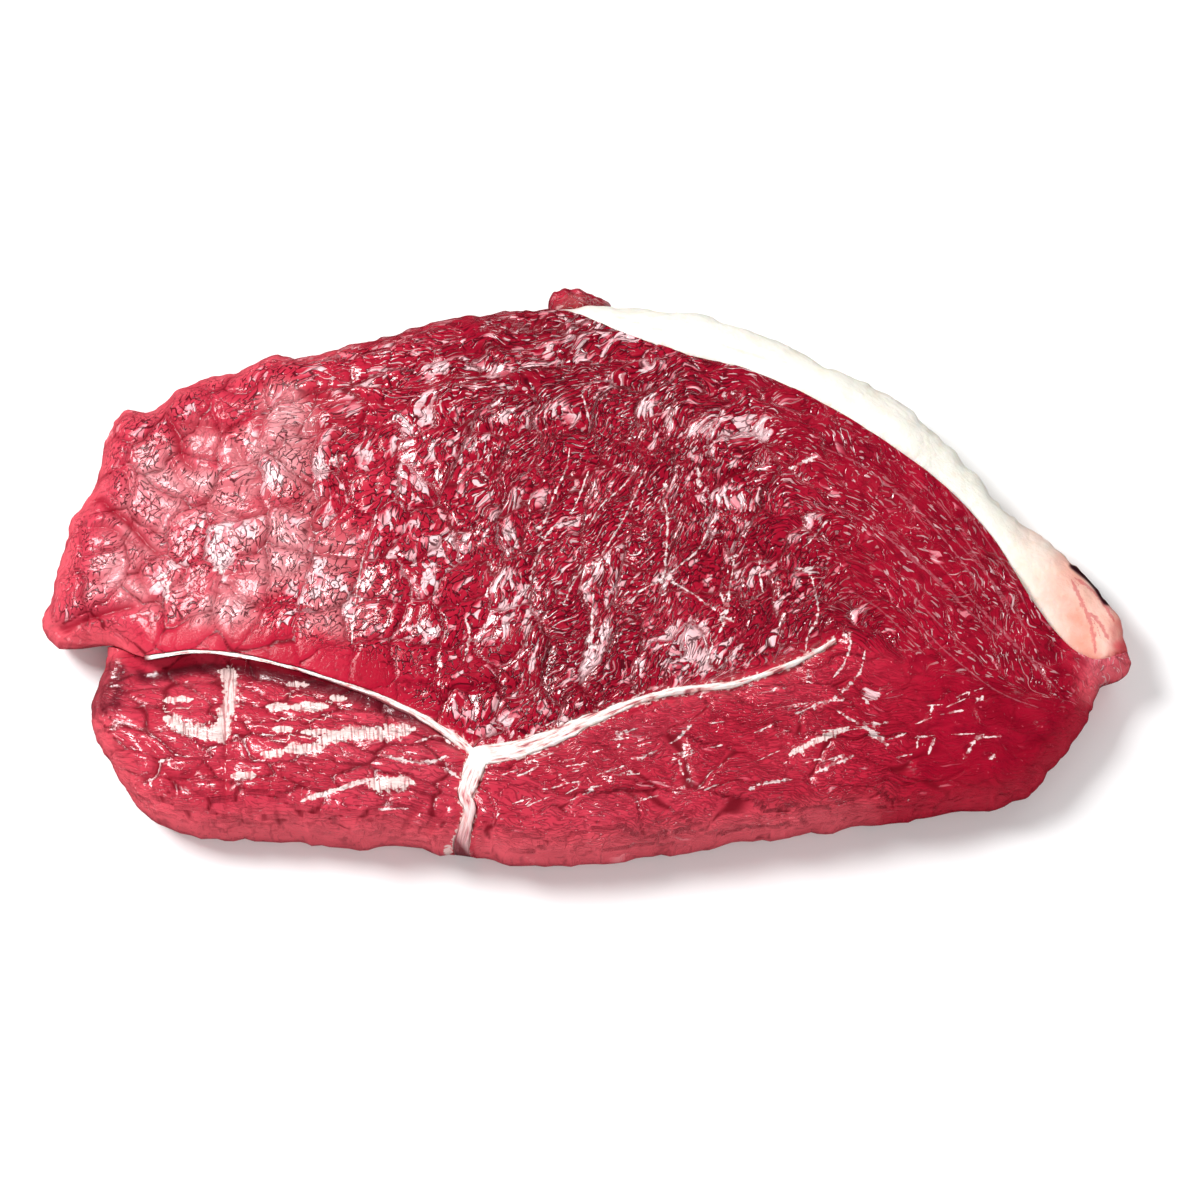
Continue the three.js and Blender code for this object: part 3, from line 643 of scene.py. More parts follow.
def slab(name, shape, height_at, radius=RIM_RADIUS, spacing=GRID):
    """A cushion over a plan. Its top goes from the height where the side is widest up to `height_at`
    by a quarter circle of distance from the edge, and its underside goes down to the table by another.
    The two sheets are grids with one rim; the underside keeps every fourth line inside the rim. The
    rim then strays by noise, most at the very edge. The shape is a plan, its outline and its size."""
    plan, edge, size = shape
    u, v = (grid_lines(length, RIM_RADIUS, spacing) for length in size)
    place = patch(plan, u, v)
    x, y = place[..., 0], place[..., 1]
    far = nearest(edge, x, y)[0]
    widest = equator(x, y)
    turn = quarter(far, radius + RIM_SWING * noise(x / 11, y / 11, 21))
    top = widest + (height_at(x, y) - widest) * turn
    foot = np.maximum(widest - (widest + 1) * quarter(far, FOOT_RADIUS), 0)
    loose = RAGGED * (1 - smooth(far / 6))
    x, y = x + loose * clouds(x, y, 4.5, 25), y + loose * clouds(x, y, 4.5, 27)
    on_rim = np.zeros(x.shape, bool)
    on_rim[[0, -1]] = True
    on_rim[:, [0, -1]] = True
    top[on_rim] = widest[on_rim]

    rows, columns = x.shape
    upper = np.arange(rows * columns).reshape(rows, columns)
    ends = np.arange(0, RIM_ROWS, 2)
    keep_v, keep_u = (
        np.r_[ends, RIM_ROWS:lines - RIM_ROWS:THIN, lines - 1 - ends[::-1]]
        for lines in (rows, columns))
    inside = np.ix_(keep_v[1:-1], keep_u[1:-1])
    below = upper[np.ix_(keep_v, keep_u)]
    inner = (len(keep_v) - 2, len(keep_u) - 2)
    below[1:-1, 1:-1] = rows * columns + np.arange(inner[0] * inner[1]).reshape(inner)
    points = np.vstack((
        np.column_stack((x.ravel(), y.ravel(), top.ravel())),
        np.column_stack((x[inside].ravel(), y[inside].ravel(), foot[inside].ravel())),
    ))

    def quads(grid, turned):
        loops = [grid[:-1, :-1], grid[:-1, 1:], grid[1:, 1:], grid[1:, :-1]]
        return np.stack(loops[::-1] if turned else loops, axis=-1)
    faces = quads(upper, False).reshape(-1, 4).tolist()
    under = quads(below, True)
    faces += under[1:-1, 1:-1].reshape(-1, 4).tolist()
    faces += rim_faces(upper, below, keep_v, keep_u)
    return solid(name, points, faces)


def solid(name, points, faces):
    mesh = bpy.data.meshes.new(name)
    mesh.from_pydata(points.tolist(), [], faces)
    return bpy.data.objects.new(name, mesh)


def rim_faces(upper, below, keep_v, keep_u):
    """The outermost faces of the underside. Each takes in every vertex of the top's rim that lies on
    it, because the rim is finer than the underside."""
    faces = []
    last_v, last_u = len(keep_v) - 2, len(keep_u) - 2
    for j, i in np.ndindex(last_v + 1, last_u + 1):
        if j not in (0, last_v) and i not in (0, last_u):
            continue
        rows, columns = slice(keep_v[j], keep_v[j + 1] + 1), slice(keep_u[i], keep_u[i + 1] + 1)
        south = upper[0, columns] if j == 0 else below[j, i:i + 2]
        north = upper[-1, columns] if j == last_v else below[j + 1, i:i + 2]
        west = upper[rows, 0] if i == 0 else below[j:j + 2, i]
        east = upper[rows, -1] if i == last_u else below[j:j + 2, i + 1]
        loop = [*south[:-1], *east[:-1], *north[:0:-1], *west[:0:-1]]
        faces.append([int(k) for k in loop[::-1]])
    return faces


def lean_back(points):
    """Moves what lies below the top towards the back, so that a cut along the seam's left arm slopes
    in under the upper muscle. The slope dies out towards the seam's knot."""
    share = smooth((SEAM_KNOT[0] - 6 - points[:, 0]) / 40)
    points[:, 1] += LAP * share * (1 - points[:, 2] / THICKNESS)
    return points


def prism(outline_points):
    """An upright wall over a closed outline with a flat face at each end, leaned back at the left."""
    ring = np.array(outline_points, float)
    area = np.sum(ring[:, 0] * np.roll(ring[:, 1], -1) - ring[:, 1] * np.roll(ring[:, 0], -1))
    ring = ring if area > 0 else ring[::-1]
    count = len(ring)
    ends = (-OUTSIDE / 2, THICKNESS + OUTSIDE / 2)
    levels = [np.column_stack((ring, np.full(count, z))) for z in ends]
    k = np.arange(count)
    after = (k + 1) % count
    walls = np.column_stack((k, after, after + count, k + count)).tolist()
    caps = [k[::-1].tolist(), (k + count).tolist()]
    return solid("cutter", lean_back(np.vstack(levels)), walls + caps)


def strip(points, width_at):
    """The outline of a band along a line. Its width is a function of the share of the way along, and
    each of its two edges strays from that by a noise of its own, less towards the line's start."""
    line = curve(points, 0.6)
    share = np.linspace(0, 1, len(line))
    heading = np.gradient(line, axis=0)
    heading /= np.linalg.norm(heading, axis=1)[:, None]
    aside = np.column_stack((heading[:, 1], -heading[:, 0])) * width_at(share)[:, None] / 2
    settled = smooth(share / 0.3)
    right, left = (
        (1 + UNEVEN * clouds(*line.T, 2.6, channel) * settled)[:, None] for channel in (101, 103))
    return np.vstack((line + aside * right, (line - aside * left)[::-1]))


def carved(piece, *steps):
    """The piece after each (operation, tool) in turn. The pieces and tools used up are removed."""
    bpy.context.scene.collection.objects.link(piece)
    tools = {tool for _, tool in steps}
    for tool in tools:
        bpy.context.scene.collection.objects.link(tool)
    for operation, tool in steps:
        modifier = piece.modifiers.new("cut", "BOOLEAN")
        modifier.solver = "MANIFOLD"
        modifier.operation = operation
        modifier.object = tool
    evaluated = piece.evaluated_get(bpy.context.evaluated_depsgraph_get())
    mesh = bpy.data.meshes.new_from_object(evaluated)
    name = piece.name
    for used in {piece} | tools:
        bpy.data.objects.remove(used)
    return bpy.data.objects.new(name, mesh)


def band(points, width):
    """The wall over a band of one width along a line."""
    return prism(strip(points, lambda t: np.full(t.shape, width)))


# Widths of the sheet's three arms in mm, by the share of the way along each.

def left_width(t):
    return SKIN + 0.3 * (1 - smooth(t / 0.12)) + 0.6 * smooth((t - 0.55) / 0.45)


def right_width(t):
    share = smooth(t / 0.55) * 0.72 + 0.28 * t
    return SINEW + (0.5 - SINEW) * share


def foot_width(t):
    return SINEW * (1 - 0.45 * smooth((t - 0.15) / 0.4))


def sheet_shapes(extra):
    """The three arms of the connective sheet and its knot, as prisms widened by `extra`."""
    arms = [(SEAM_LEFT, left_width), (SEAM_RIGHT, right_width), (SEAM_FOOT, foot_width)]
    shapes = [prism(strip(points, lambda t, w=width: w(t) + extra)) for points, width in arms]
    turn = np.linspace(0, 2 * np.pi, 24, endpoint=False)
    knot = np.array(SEAM_KNOT) + (SINEW + extra) / 2 * np.column_stack((np.cos(turn), np.sin(turn)))
    return shapes + [prism(knot)]


def lower_region():
    """Everything in front of the seam's left arm and to the left of its foot."""
    back = curve(LOBE_GAP + SEAM_LEFT[1:])
    foot = curve(SEAM_FOOT)[1:]
    return prism(np.vstack((back, foot, [(-60, -80), (-120, -60), (-125, -14)])))


def fat_region():
    return prism(np.vstack((curve(FAT_LINE), [(120, 30), (60, 90), (-16, 90)])))


def without(*shapes):
    """Steps that take shapes away from a piece."""
    return [("DIFFERENCE", shape) for shape in shapes]


# ---- Pieces --------------------------------------------------------------------------------------

# Plan, outline, and the mean run of the grid lines along and across.
UPPER = (UPPER_PLAN, UPPER_EDGE, (200, 100))
LOWER = (LOWER_PLAN, LOWER_EDGE, (76, 36))


def main_muscle():
    return carved(slab("steak_main_muscle", UPPER, upper_height), *without(
        fat_region(), band(FAT_LINE, GAP), lower_region(), band(LOBE_GAP + SEAM_LEFT[1:2], 2 * GAP),
        *sheet_shapes(2 * GAP)))


def lower_muscle():
    return carved(
        slab("steak_lower_muscle", LOWER, lower_height), ("INTERSECT", lower_region()),
        *without(band(LOBE_GAP + SEAM_LEFT[1:2], 2 * GAP), *sheet_shapes(2 * GAP)))


def connective_sheet():
    first, *others = sheet_shapes(0)
    sheet = carved(first, *(("UNION", other) for other in others))
    return carved(slab("steak_connective_sheet", UPPER, sinew_height), ("INTERSECT", sheet))


def fat_cap():
    return carved(
        slab("steak_fat_cap", UPPER, fat_height, FAT_SHOULDER), ("INTERSECT", fat_region()),
        *without(band(FAT_LINE, GAP)))


SCRAP_SIZE = (12, 6, 20)  # of the scrap, with the part of it that the fat hides
SCRAP_PLACE = (-1.4, 53.8, 6)


def lean_scrap():
    """A torn tag of lean: a ball pulled out to a point at its right end and rippled, pressed flat
    where it meets the table. The steak is cut out of it twice, once moved back by the clearance."""
    rows, columns = 48, 96
    polar = np.linspace(0, np.pi, rows + 1)[1:-1, None]
    turn = np.linspace(0, 2 * np.pi, columns, endpoint=False)[None]
    ball = 0.5 * np.stack((
        np.cos(polar) * np.ones_like(turn), np.sin(polar) * np.cos(turn), np.sin(polar) * np.sin(turn)))
    ends = np.array(((0.5, 0, 0), (-0.5, 0, 0))).T
    x, y, z = np.hstack((ends[:, :1], ball.reshape(3, -1), ends[:, 1:]))
    girth = (1 - 0.55 * smooth(x + 0.5)) * (1 + 0.12 * noise(x * 7 + 3, z * 5 + y * 4, 17))
    girth = girth * (1 + 0.1 * clouds(x * 12, z * 8 + y * 6, 1.2, 81))
    points = np.column_stack((x * SCRAP_SIZE[0], y * girth * SCRAP_SIZE[1], z * girth * SCRAP_SIZE[2]))
    points = points + SCRAP_PLACE
    points[:, 2] = np.maximum(points[:, 2], 0)
    ring = 1 + np.arange((rows - 1) * columns).reshape(rows - 1, columns)
    ring = np.column_stack((ring, ring[:, 0]))
    last = np.full(columns, (rows - 1) * columns + 1)
    faces = np.stack((ring[:-1, :-1], ring[1:, :-1], ring[1:, 1:], ring[:-1, 1:]), axis=-1)
    faces = faces.reshape(-1, 4).tolist()
    faces += np.column_stack((0 * last, ring[0, :-1], ring[0, 1:])).tolist()
    faces += np.column_stack((last, ring[-1, 1:], ring[-1, :-1])).tolist()
    lump = solid("steak_lean_scrap", points, faces)
    side, behind = (slab("side", UPPER, clear_height, spacing=CLEAR_GRID) for _ in range(2))
    places = coordinates(behind.data)
    places[:, 1] += GAP
    move_to(behind.data, places)
    return carved(lump, *without(side, behind))


def clear_height(x, y):
    """The steak's plain top, raised by the clearance, which the scrap must stay outside."""
    return slice_height(x, y) + GAP


def coordinates(mesh):
    places = np.empty(len(mesh.vertices) * 3)
    mesh.vertices.foreach_get("co", places)
    return places.reshape(-1, 3)


def move_to(mesh, places):
    mesh.vertices.foreach_set("co", np.ascontiguousarray(places.ravel(), np.float32))


def add_fields(mesh, **fields):
    """Writes surface fields by name: a number for every vertex, one for all, or a vector for each."""
    for name, values in fields.items():
        values = np.asarray(values, np.float32)
        kind, key = ("FLOAT_VECTOR", "vector") if values.ndim == 2 else ("FLOAT", "value")
        if name not in mesh.attributes:
            mesh.attributes.new(name, kind, "POINT")
        values = values if values.ndim else np.full(len(mesh.vertices), values)
        mesh.attributes[name].data.foreach_set(key, np.ascontiguousarray(values.ravel()))


def marks(lines, x, y):
    """A vector field for a set of thin marks. Across and up are the way to the nearest mark, counted
    in half widths of it, so that their length is 1 at its edge and passes cleanly through 0 on its
    middle even between two vertices. The third number is that length at the vertices, which stays
    large half way between two marks. A mark narrows towards both its ends."""
    made = np.full((len(x), 3), MARK_REACH / 0.1)
    for (half,), line in lines:
        inside = np.flatnonzero(near_box(line, x, y, MARK_REACH))
        across, up, along = foot_on(line, x[inside], y[inside])
        width = half * np.sqrt(np.clip(9 * along * (1 - along), 0.15, 1))
        counted = np.hypot(across, up) / width
        closer = counted < made[inside, 2]
        made[inside[closer]] = np.column_stack((across / width, up / width, counted))[closer]
    return made


def fibres(x, y):
    """The places that the sinew's streaks are read at: along the nearest arm, where they are long, and
    across it, where they are fine, with a number of its own for each arm."""
    best = np.full(x.shape, np.inf)
    places = np.zeros((len(x), 3))
    for number, line in enumerate(SEAMS):
        across, up, along = foot_on(line, x, y)
        heading = (line[-1] - line[0]) / np.linalg.norm(line[-1] - line[0])
        far = np.hypot(across, up)
        run = along * len(line) * SPACING / STREAK_RUN
        aside = (across * heading[1] - up * heading[0]) / STREAK_WIDTH
        closer = far < best
        best = np.where(closer, far, best)
        places[closer] = np.column_stack((run, aside, np.full(x.shape, 9.0 * number)))[closer]
    return places


def sinew_edge(x, y):
    """Distance in mm from the edge of the connective sheet, where it shows on top. It is held up along
    the left arm, which has clean edges."""
    gaps = []
    for line, width in zip(SEAMS, (left_width, right_width, foot_width)):
        far, along = nearest(line, x, y)
        gaps.append(far - width(along) / 2)
    gaps[0] = gaps[0] + 3 * (1 - smooth((x - SEAM_LEFT[4][0] + 4) / 4))
    return np.min(gaps, axis=0)


def wrinkles(x, y, bundle):
    """Where the fine wrinkles take their pattern from, and how deep they are. Each bundle has a
    direction of its own near the grain's, and the place in it is counted in wrinkle widths along and
    across that, so that the pattern breaks off at the cracks. The depth is in mm."""
    _, large, _, name, _, dx, dy = bundle
    front, lower = front_share(x, y), lower_share(x, y)
    right, middle, back = fat_side_share(x, y), middle_share(x, y), back_share(x, y)
    level = np.maximum(front, lower)
    swing = 1.3 * (name - 0.5) * (1 - 0.5 * middle) * (1 - 0.7 * level)
    turn = grain(x, y) * (1 - lower) - 0.15 * lower + swing
    width = 1.05 - 0.27 * middle - 0.35 * level
    stretch = 1.4 + 0.7 * middle + 2.6 * level + 1.0 * back + right
    along = (dx * np.cos(turn) + dy * np.sin(turn)) / (width * stretch)
    across = (-dx * np.sin(turn) + dy * np.cos(turn)) / width
    patchy = smooth(0.55 + 1.1 * clouds(x, y, 5, 97) + 0.5 * level)
    depth = (0.11 + 0.05 * smooth((x + 60) / 25) + 0.06 * middle) * (0.4 + 0.6 * patchy)
    depth = depth * (1 - 0.5 * right) * (1 - 0.3 * level)
    depth = depth * smooth((large - 0.1) / 0.3) * (1 - 0.8 * ledge_share(x, y))
    return np.column_stack((along + 31 * name, across + 17 * name, 9 * name)), depth


def unrolled(mesh, inward):
    """The places in the plan that patterns are read at. Over the rounded rim they run on outwards by
    the length of the curve less its reach in the plan, and down the side by the drop, so that a
    pattern goes over the edge without being drawn out."""
    x, y, z = coordinates(mesh).T
    normals = np.empty(len(mesh.vertices) * 3)
    mesh.vertices.foreach_get("normal", normals)
    out_x, out_y, _ = normals.reshape(-1, 3).T
    over = np.clip(1 - inward / RIM_RADIUS, 0, 1)
    run = (np.pi / 2 - 1) * RIM_RADIUS * over**3 + np.clip(EQUATOR - z, 0, None) * (inward < 0.5)
    return x + out_x * run, y + out_y * run


def finish_lean(piece, bundle_fields, edge):
    """The surface fields that the lean's material reads, all from the place in the plan: distances to
    cracks and marks in mm, and shares from 0 to 1."""
    mesh = piece.data
    inward = nearest(edge, *coordinates(mesh).T[:2])[0]
    x, y = unrolled(mesh, inward)
    bundle = bundle_fields(x, y)
    _, large, small, name, tone, _, _ = bundle
    hollow = creases(x, y)
    place, depth = wrinkles(x, y, bundle)
    depth = depth * (0.3 + 0.7 * smooth(inward / 2)) * (1 - 0.8 * smooth(hollow / 1.2))
    depth = depth * (0.2 + 0.8 * smooth((seam_distance(x, y) - 0.5) / 3))
    level = np.maximum(front_share(x, y), lower_share(x, y))
    ledge, left, right = ledge_share(x, y), left_share(x, y), fat_side_share(x, y)
    # painted shade: how much a dark line darkens each wrinkle's valley
    lines = smooth(depth / 0.1) * smooth((inward - 0.5) / 4) * (0.9 - 0.5 * level - 0.4 * right)
    patchy = smooth(0.5 + clouds(x, y, 6, 117))
    roofs = np.clip(middle_share(x, y) + back_share(x, y), 0, 1)
    density = smooth(0.55 + 1.2 * clouds(x, y, 7, 119)) * (0.4 + 0.6 * tone) + 0.25 * right
    # Of these fields the colour reads some as painted light: painted shade along the cracks, creases
    # and wrinkles' valleys, painted sheen over pale patches and the left end, painted highlights at the
    # glints and a painted glow at the rim.
    add_fields(
        mesh, wrinkle_place=place, wrinkle_depth=depth, line_share=lines, roofs=roofs, fat_side=right,
        wet=(1 - 0.6 * left * (1 - level)) * (1 - 0.8 * ledge) * (1 - 0.25 * level),
        soft_veil=soft_veil(x, y), sinew_edge=sinew_edge(x, y), shade=shade(x, y), inward=inward,
        crack=large * (1 - 0.4 * lower_share(x, y)) + 0.12 * (1 - smooth(inward / 4)),
        # painted shade: a darker red band beside the cracks, strongest at the left
        valley=(1 - smooth(large / 1.1)) * (0.1 + 0.4 * left * patchy) * (1 - level),
        fine_crack=small, bundle_tone=name, crease=hollow, paleness=paleness(x, y),
        fleck=marks(FLECK_LINES, x, y), thread=marks(THREAD_LINES, x, y),
        film=marks(FILM_WITH_SHEEN_LINES, x, y),
        glint_share=np.clip(density, 0, 1) * np.maximum(roofs, 0.5 * right) * (1 - level),
        # painted sheen, gathered in pale cells
        veil=veil(x, y) * (0.55 + 0.45 * smooth(2 * tone - 0.3)) * (0.4 + 1.1 * name))


def shade(x, y):
    """How much painted shade darkens the lower muscle: most right under the hanging edge, and down its
    side under the lobe."""
    far, along = nearest(SEAMS[0], x, y)
    under = (1 - smooth((far - 0.8) / 3)) * (1 - smooth((along - 0.7) / 0.3))
    lobe_side_shade = smooth((-82.5 - x) / 3) * smooth((y + 30) / 4) * (0.75 + 0.25 * noise(x * 1.6, y / 6, 23))
    return np.maximum(under, lobe_side_shade) * lower_share(x, y)


def soft_veil(x, y):
    """Painted sheen: an even pink bloom over the left end, standing in for the broad glare off its wet
    film, which fades towards the middle and the edges.
    """
    bloom = 0.4 + 0.75 * clouds(x, y, 11, 111) + 0.25 * clouds(x, y, 3, 113)
    far = nearest(UPPER_EDGE, x, y)[0]
    kept = smooth((far - 3) / 9) * (1 - lower_share(x, y)) * (1 - 0.6 * ledge_share(x, y))
    return np.clip(bloom, 0, 1) * smooth((-x - 28) / 30) * kept


def veil(x, y):
    """How much painted sheen covers the lean, a pale veil that stands in for the glare off its wet
    film: the strongest of the named oval patches, broken up, with a little everywhere in the middle and
    at the left."""
    total = np.zeros(x.shape)
    for px, py, wide, high, strength in PAINTED_SHEEN_PATCHES:
        middle = on_top([(px, py)])[0]
        far = np.hypot((x - middle[0]) / (wide * PIXEL), (y - middle[1]) / (high * PIXEL))
        ragged = far - 0.4 + 0.5 * clouds(x, y, 4, 99)
        total = np.maximum(total, strength * (1 - smooth(ragged / 0.9)))
    level = np.maximum(front_share(x, y), lower_share(x, y))
    base = (0.3 - 0.12 * left_share(x, y)) * (1 - 0.6 * fat_side_share(x, y)) * (1 - 0.6 * level)
    return np.maximum(total, base * (1 - ledge_share(x, y)))


def lower_share(x, y):
    """1 over the lower muscle, in front of the seam's left arm and of the gap under the lobe."""
    _, up, _ = foot_on(UNDER_LINE, x, y)
    return smooth(0.5 + 0.8 * up) * (1 - smooth((x + 24) / 4))


def tip_share(x, y):
    """Share of the coral red, ragged lumps at the pointed end."""
    return smooth((x - 85) / 8) * smooth((y + 30) / 9) * smooth((-6 - y) / 5)


def paleness(x, y):
    """How washed out the lean looks, from 0, deep crimson, to 1, pink: most at the ragged left end,
    some in the front muscles, least beside the fat and along the back."""
    left = 0.5 * smooth((-x - 5) / 75) * (1 - lower_share(x, y)) * (1 - 0.3 * ledge_share(x, y))
    front = 0.42 * np.maximum(front_share(x, y) * (1 - smooth((x - 40) / 30)), 1.15 * lower_share(x, y))
    drift = 0.12 * clouds(x, y, 20, 91) + 0.05 * clouds(x, y, 5, 93)
    mottled = 0.1 * fat_side_share(x, y) * clouds(x + 0.6 * y, 2 * y, 7, 109)
    darker = 0.02 * fat_side_share(x, y) + 0.05 * back_share(x, y)
    tip = 0.62 * tip_share(x, y)
    return np.clip(0.2 + np.maximum(left, front) + drift + mottled + tip - darker, 0, 1)


def into_frame(piece, cad_node, surface):
    """Puts a finished piece in the frame: from the plan in mm to the frame in metres."""
    mesh = piece.data
    mesh.materials.clear()
    mesh.materials.append(surface)
    places = coordinates(mesh)
    places[:, :2] -= PLAN_CENTRE
    move_to(mesh, places * MM)
    mesh.shade_smooth()
    mesh.update()
    bpy.context.scene.collection.objects.link(piece)
    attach(piece, "root")
    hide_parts(cad_node)
    return piece


# ---- Materials -----------------------------------------------------------------------------------

def linear(code):
    """An sRGB hex colour as linear light."""
    shares = [int(code[k:k + 2], 16) / 255 for k in (1, 3, 5)]
    return (*(s / 12.92 if s <= 0.04045 else ((s + 0.055) / 1.055) ** 2.4 for s in shares), 1.0)


# Short words for nodes: the kind, what it always has, what its values set in turn, and its output.
WORDS = {
    "field": ("Attribute", {}, ["attribute_name"], "Fac"),
    "way": ("Attribute", {}, ["attribute_name"], "Vector"),
    "share": (
        "MapRange", {"interpolation_type": "SMOOTHSTEP"},
        ["Value", "From Min", "From Max", "To Min", "To Max"], 0),
    "math": ("Math", {}, ["operation", 0, 1, 2], 0),
    "times": ("Math", {"operation": "MULTIPLY"}, [0, 1], 0),
    "vector": ("VectorMath", {}, ["operation", 0, 1, 2], "Vector"),
    "over": ("Mix", {"data_type": "RGBA"}, [6, 7, 0], 2),
    "noise": ("TexNoise", {"noise_dimensions": "2D"}, ["Vector", "Scale", "Detail"], "Fac"),
}


def node(tree, kind, *values):
    """Adds one shader node and gives one of its outputs. A short word is followed by its values; any
    other kind by its settings and its output. A setting is a property by name or a socket by name or
    number. In a socket, another node's output is linked, a text that starts with # is a colour, and
    any other text is the name of a surface field."""
    if kind in WORDS:
        kind, always, names, output = WORDS[kind]
        settings = {**always, **dict(zip(names, values))}
    else:
        settings, output = (*values, 0)[:2]
    made = tree.nodes.new("ShaderNode" + kind)
    for name, value in settings.items():
        if isinstance(name, str) and hasattr(made, name):
            setattr(made, name, value)
            continue
        if isinstance(value, str):
            value = linear(value) if value[0] == "#" else node(tree, "field", value)
        if isinstance(value, bpy.types.NodeSocket):
            tree.links.new(value, made.inputs[name])
        else:
            made.inputs[name].default_value = value
    return made.outputs[output] if made.outputs else None


def material(name):
    """A new material, and the function that adds a node to it."""
    made = bpy.data.materials.new(name)
    made.use_nodes = True
    made.node_tree.nodes.clear()
    return made, functools.partial(node, made.node_tree)


def speckle(add, size, detail, stretch=(1, 1, 1), angle=0.0):
    """Noise with spots of a size in mm, drawn out by `stretch` along a direction in the plan."""
    place = add("Mapping", {
        "vector_type": "TEXTURE", "Vector": add("TexCoord", {}, "Object"), "Rotation": (0, 0, angle),
        "Scale": stretch})
    return add("TexNoise", {"Vector": place, "Scale": 1 / (size * MM), "Detail": detail}, "Fac")


def mark_share(add, name, ragged, strength, inner, outer):
    """1 inside a set of marks and 0 outside, over an edge made ragged by a noise of some strength: the
    way to a mark, in half widths, is held up half way between two marks by its third number."""
    way = add("way", name)
    flat = add("vector", "MULTIPLY", way, (1, 1, 0))
    length = add("VectorMath", {"operation": "LENGTH", 0: flat}, "Value")
    guard = add("math", "SUBTRACT", add("SeparateXYZ", {"Vector": way}, "Z"), 3.5)
    swing = add("math", "SUBTRACT", ragged, 0.5)
    loose = add("math", "MULTIPLY_ADD", swing, strength, add("math", "MAXIMUM", length, guard))
    return add("share", loose, inner, outer, 1, 0)


def wrinkle_pattern(add):
    """The wrinkles' height, from 0 in the valleys to 1, the share of dark line along each valley, which
    is painted shade, and a random number for each place between them. The place is counted in wrinkle
    widths.
    The valleys are the borders of cells, bent by noise, and broken off where a second noise lifts
    them. A third noise adds more valleys where it passes through its middle. The tops are flat at the
    left and like roofs over the middle. The random number is drawn by cell, and mixed with a slower
    noise so that like ones gather."""
    place = add("way", "wrinkle_place")
    bend = add("TexNoise", {"Vector": place, "Scale": 0.7, "Detail": 1.0}, "Color")
    bent = add("vector", "MULTIPLY_ADD", bend, (0.9, 0.9, 0), place)
    cells, chance = (
        add("TexVoronoi", {
            "voronoi_dimensions": "2D", "feature": feature, "Vector": bent, "Scale": 1}, output)
        for feature, output in (("DISTANCE_TO_EDGE", "Distance"), ("F1", "Color")))
    breaks = add("share", add("noise", bent, 1.3, 0), 0.5, 0.65, 0, 0.22)
    worms = add("math", "ABSOLUTE", add("math", "SUBTRACT", add("noise", bent, 0.8, 1), 0.5))
    cells = add("math", "ADD", cells, breaks)
    cells = add("math", "MINIMUM", cells, add("share", worms, 0, 0.06, 0.04, 0.5))
    patches = add("MapRange", {"Value": add("noise", place, 0.36, 1), "From Min": 0.3, "From Max": 0.7})
    chance = add("SeparateColor", {"Color": chance})
    chance = add("Mix", {"data_type": "FLOAT", 0: 0.35, 2: chance, 3: patches})
    top, shore = (add("share", "roofs", 0, 1, 0.16, at_roofs) for at_roofs in (0.28, 0.17))
    return add("share", cells, 0.01, top, 0, 1), add("share", cells, 0.04, shore, 1, 0), chance


# From the deepest crimson beside the fat to the pink of the ragged left end.
LEAN_COLOURS = ["#7c0019", "#a80a2b", "#bf213b", "#cd4054", "#e07583"]


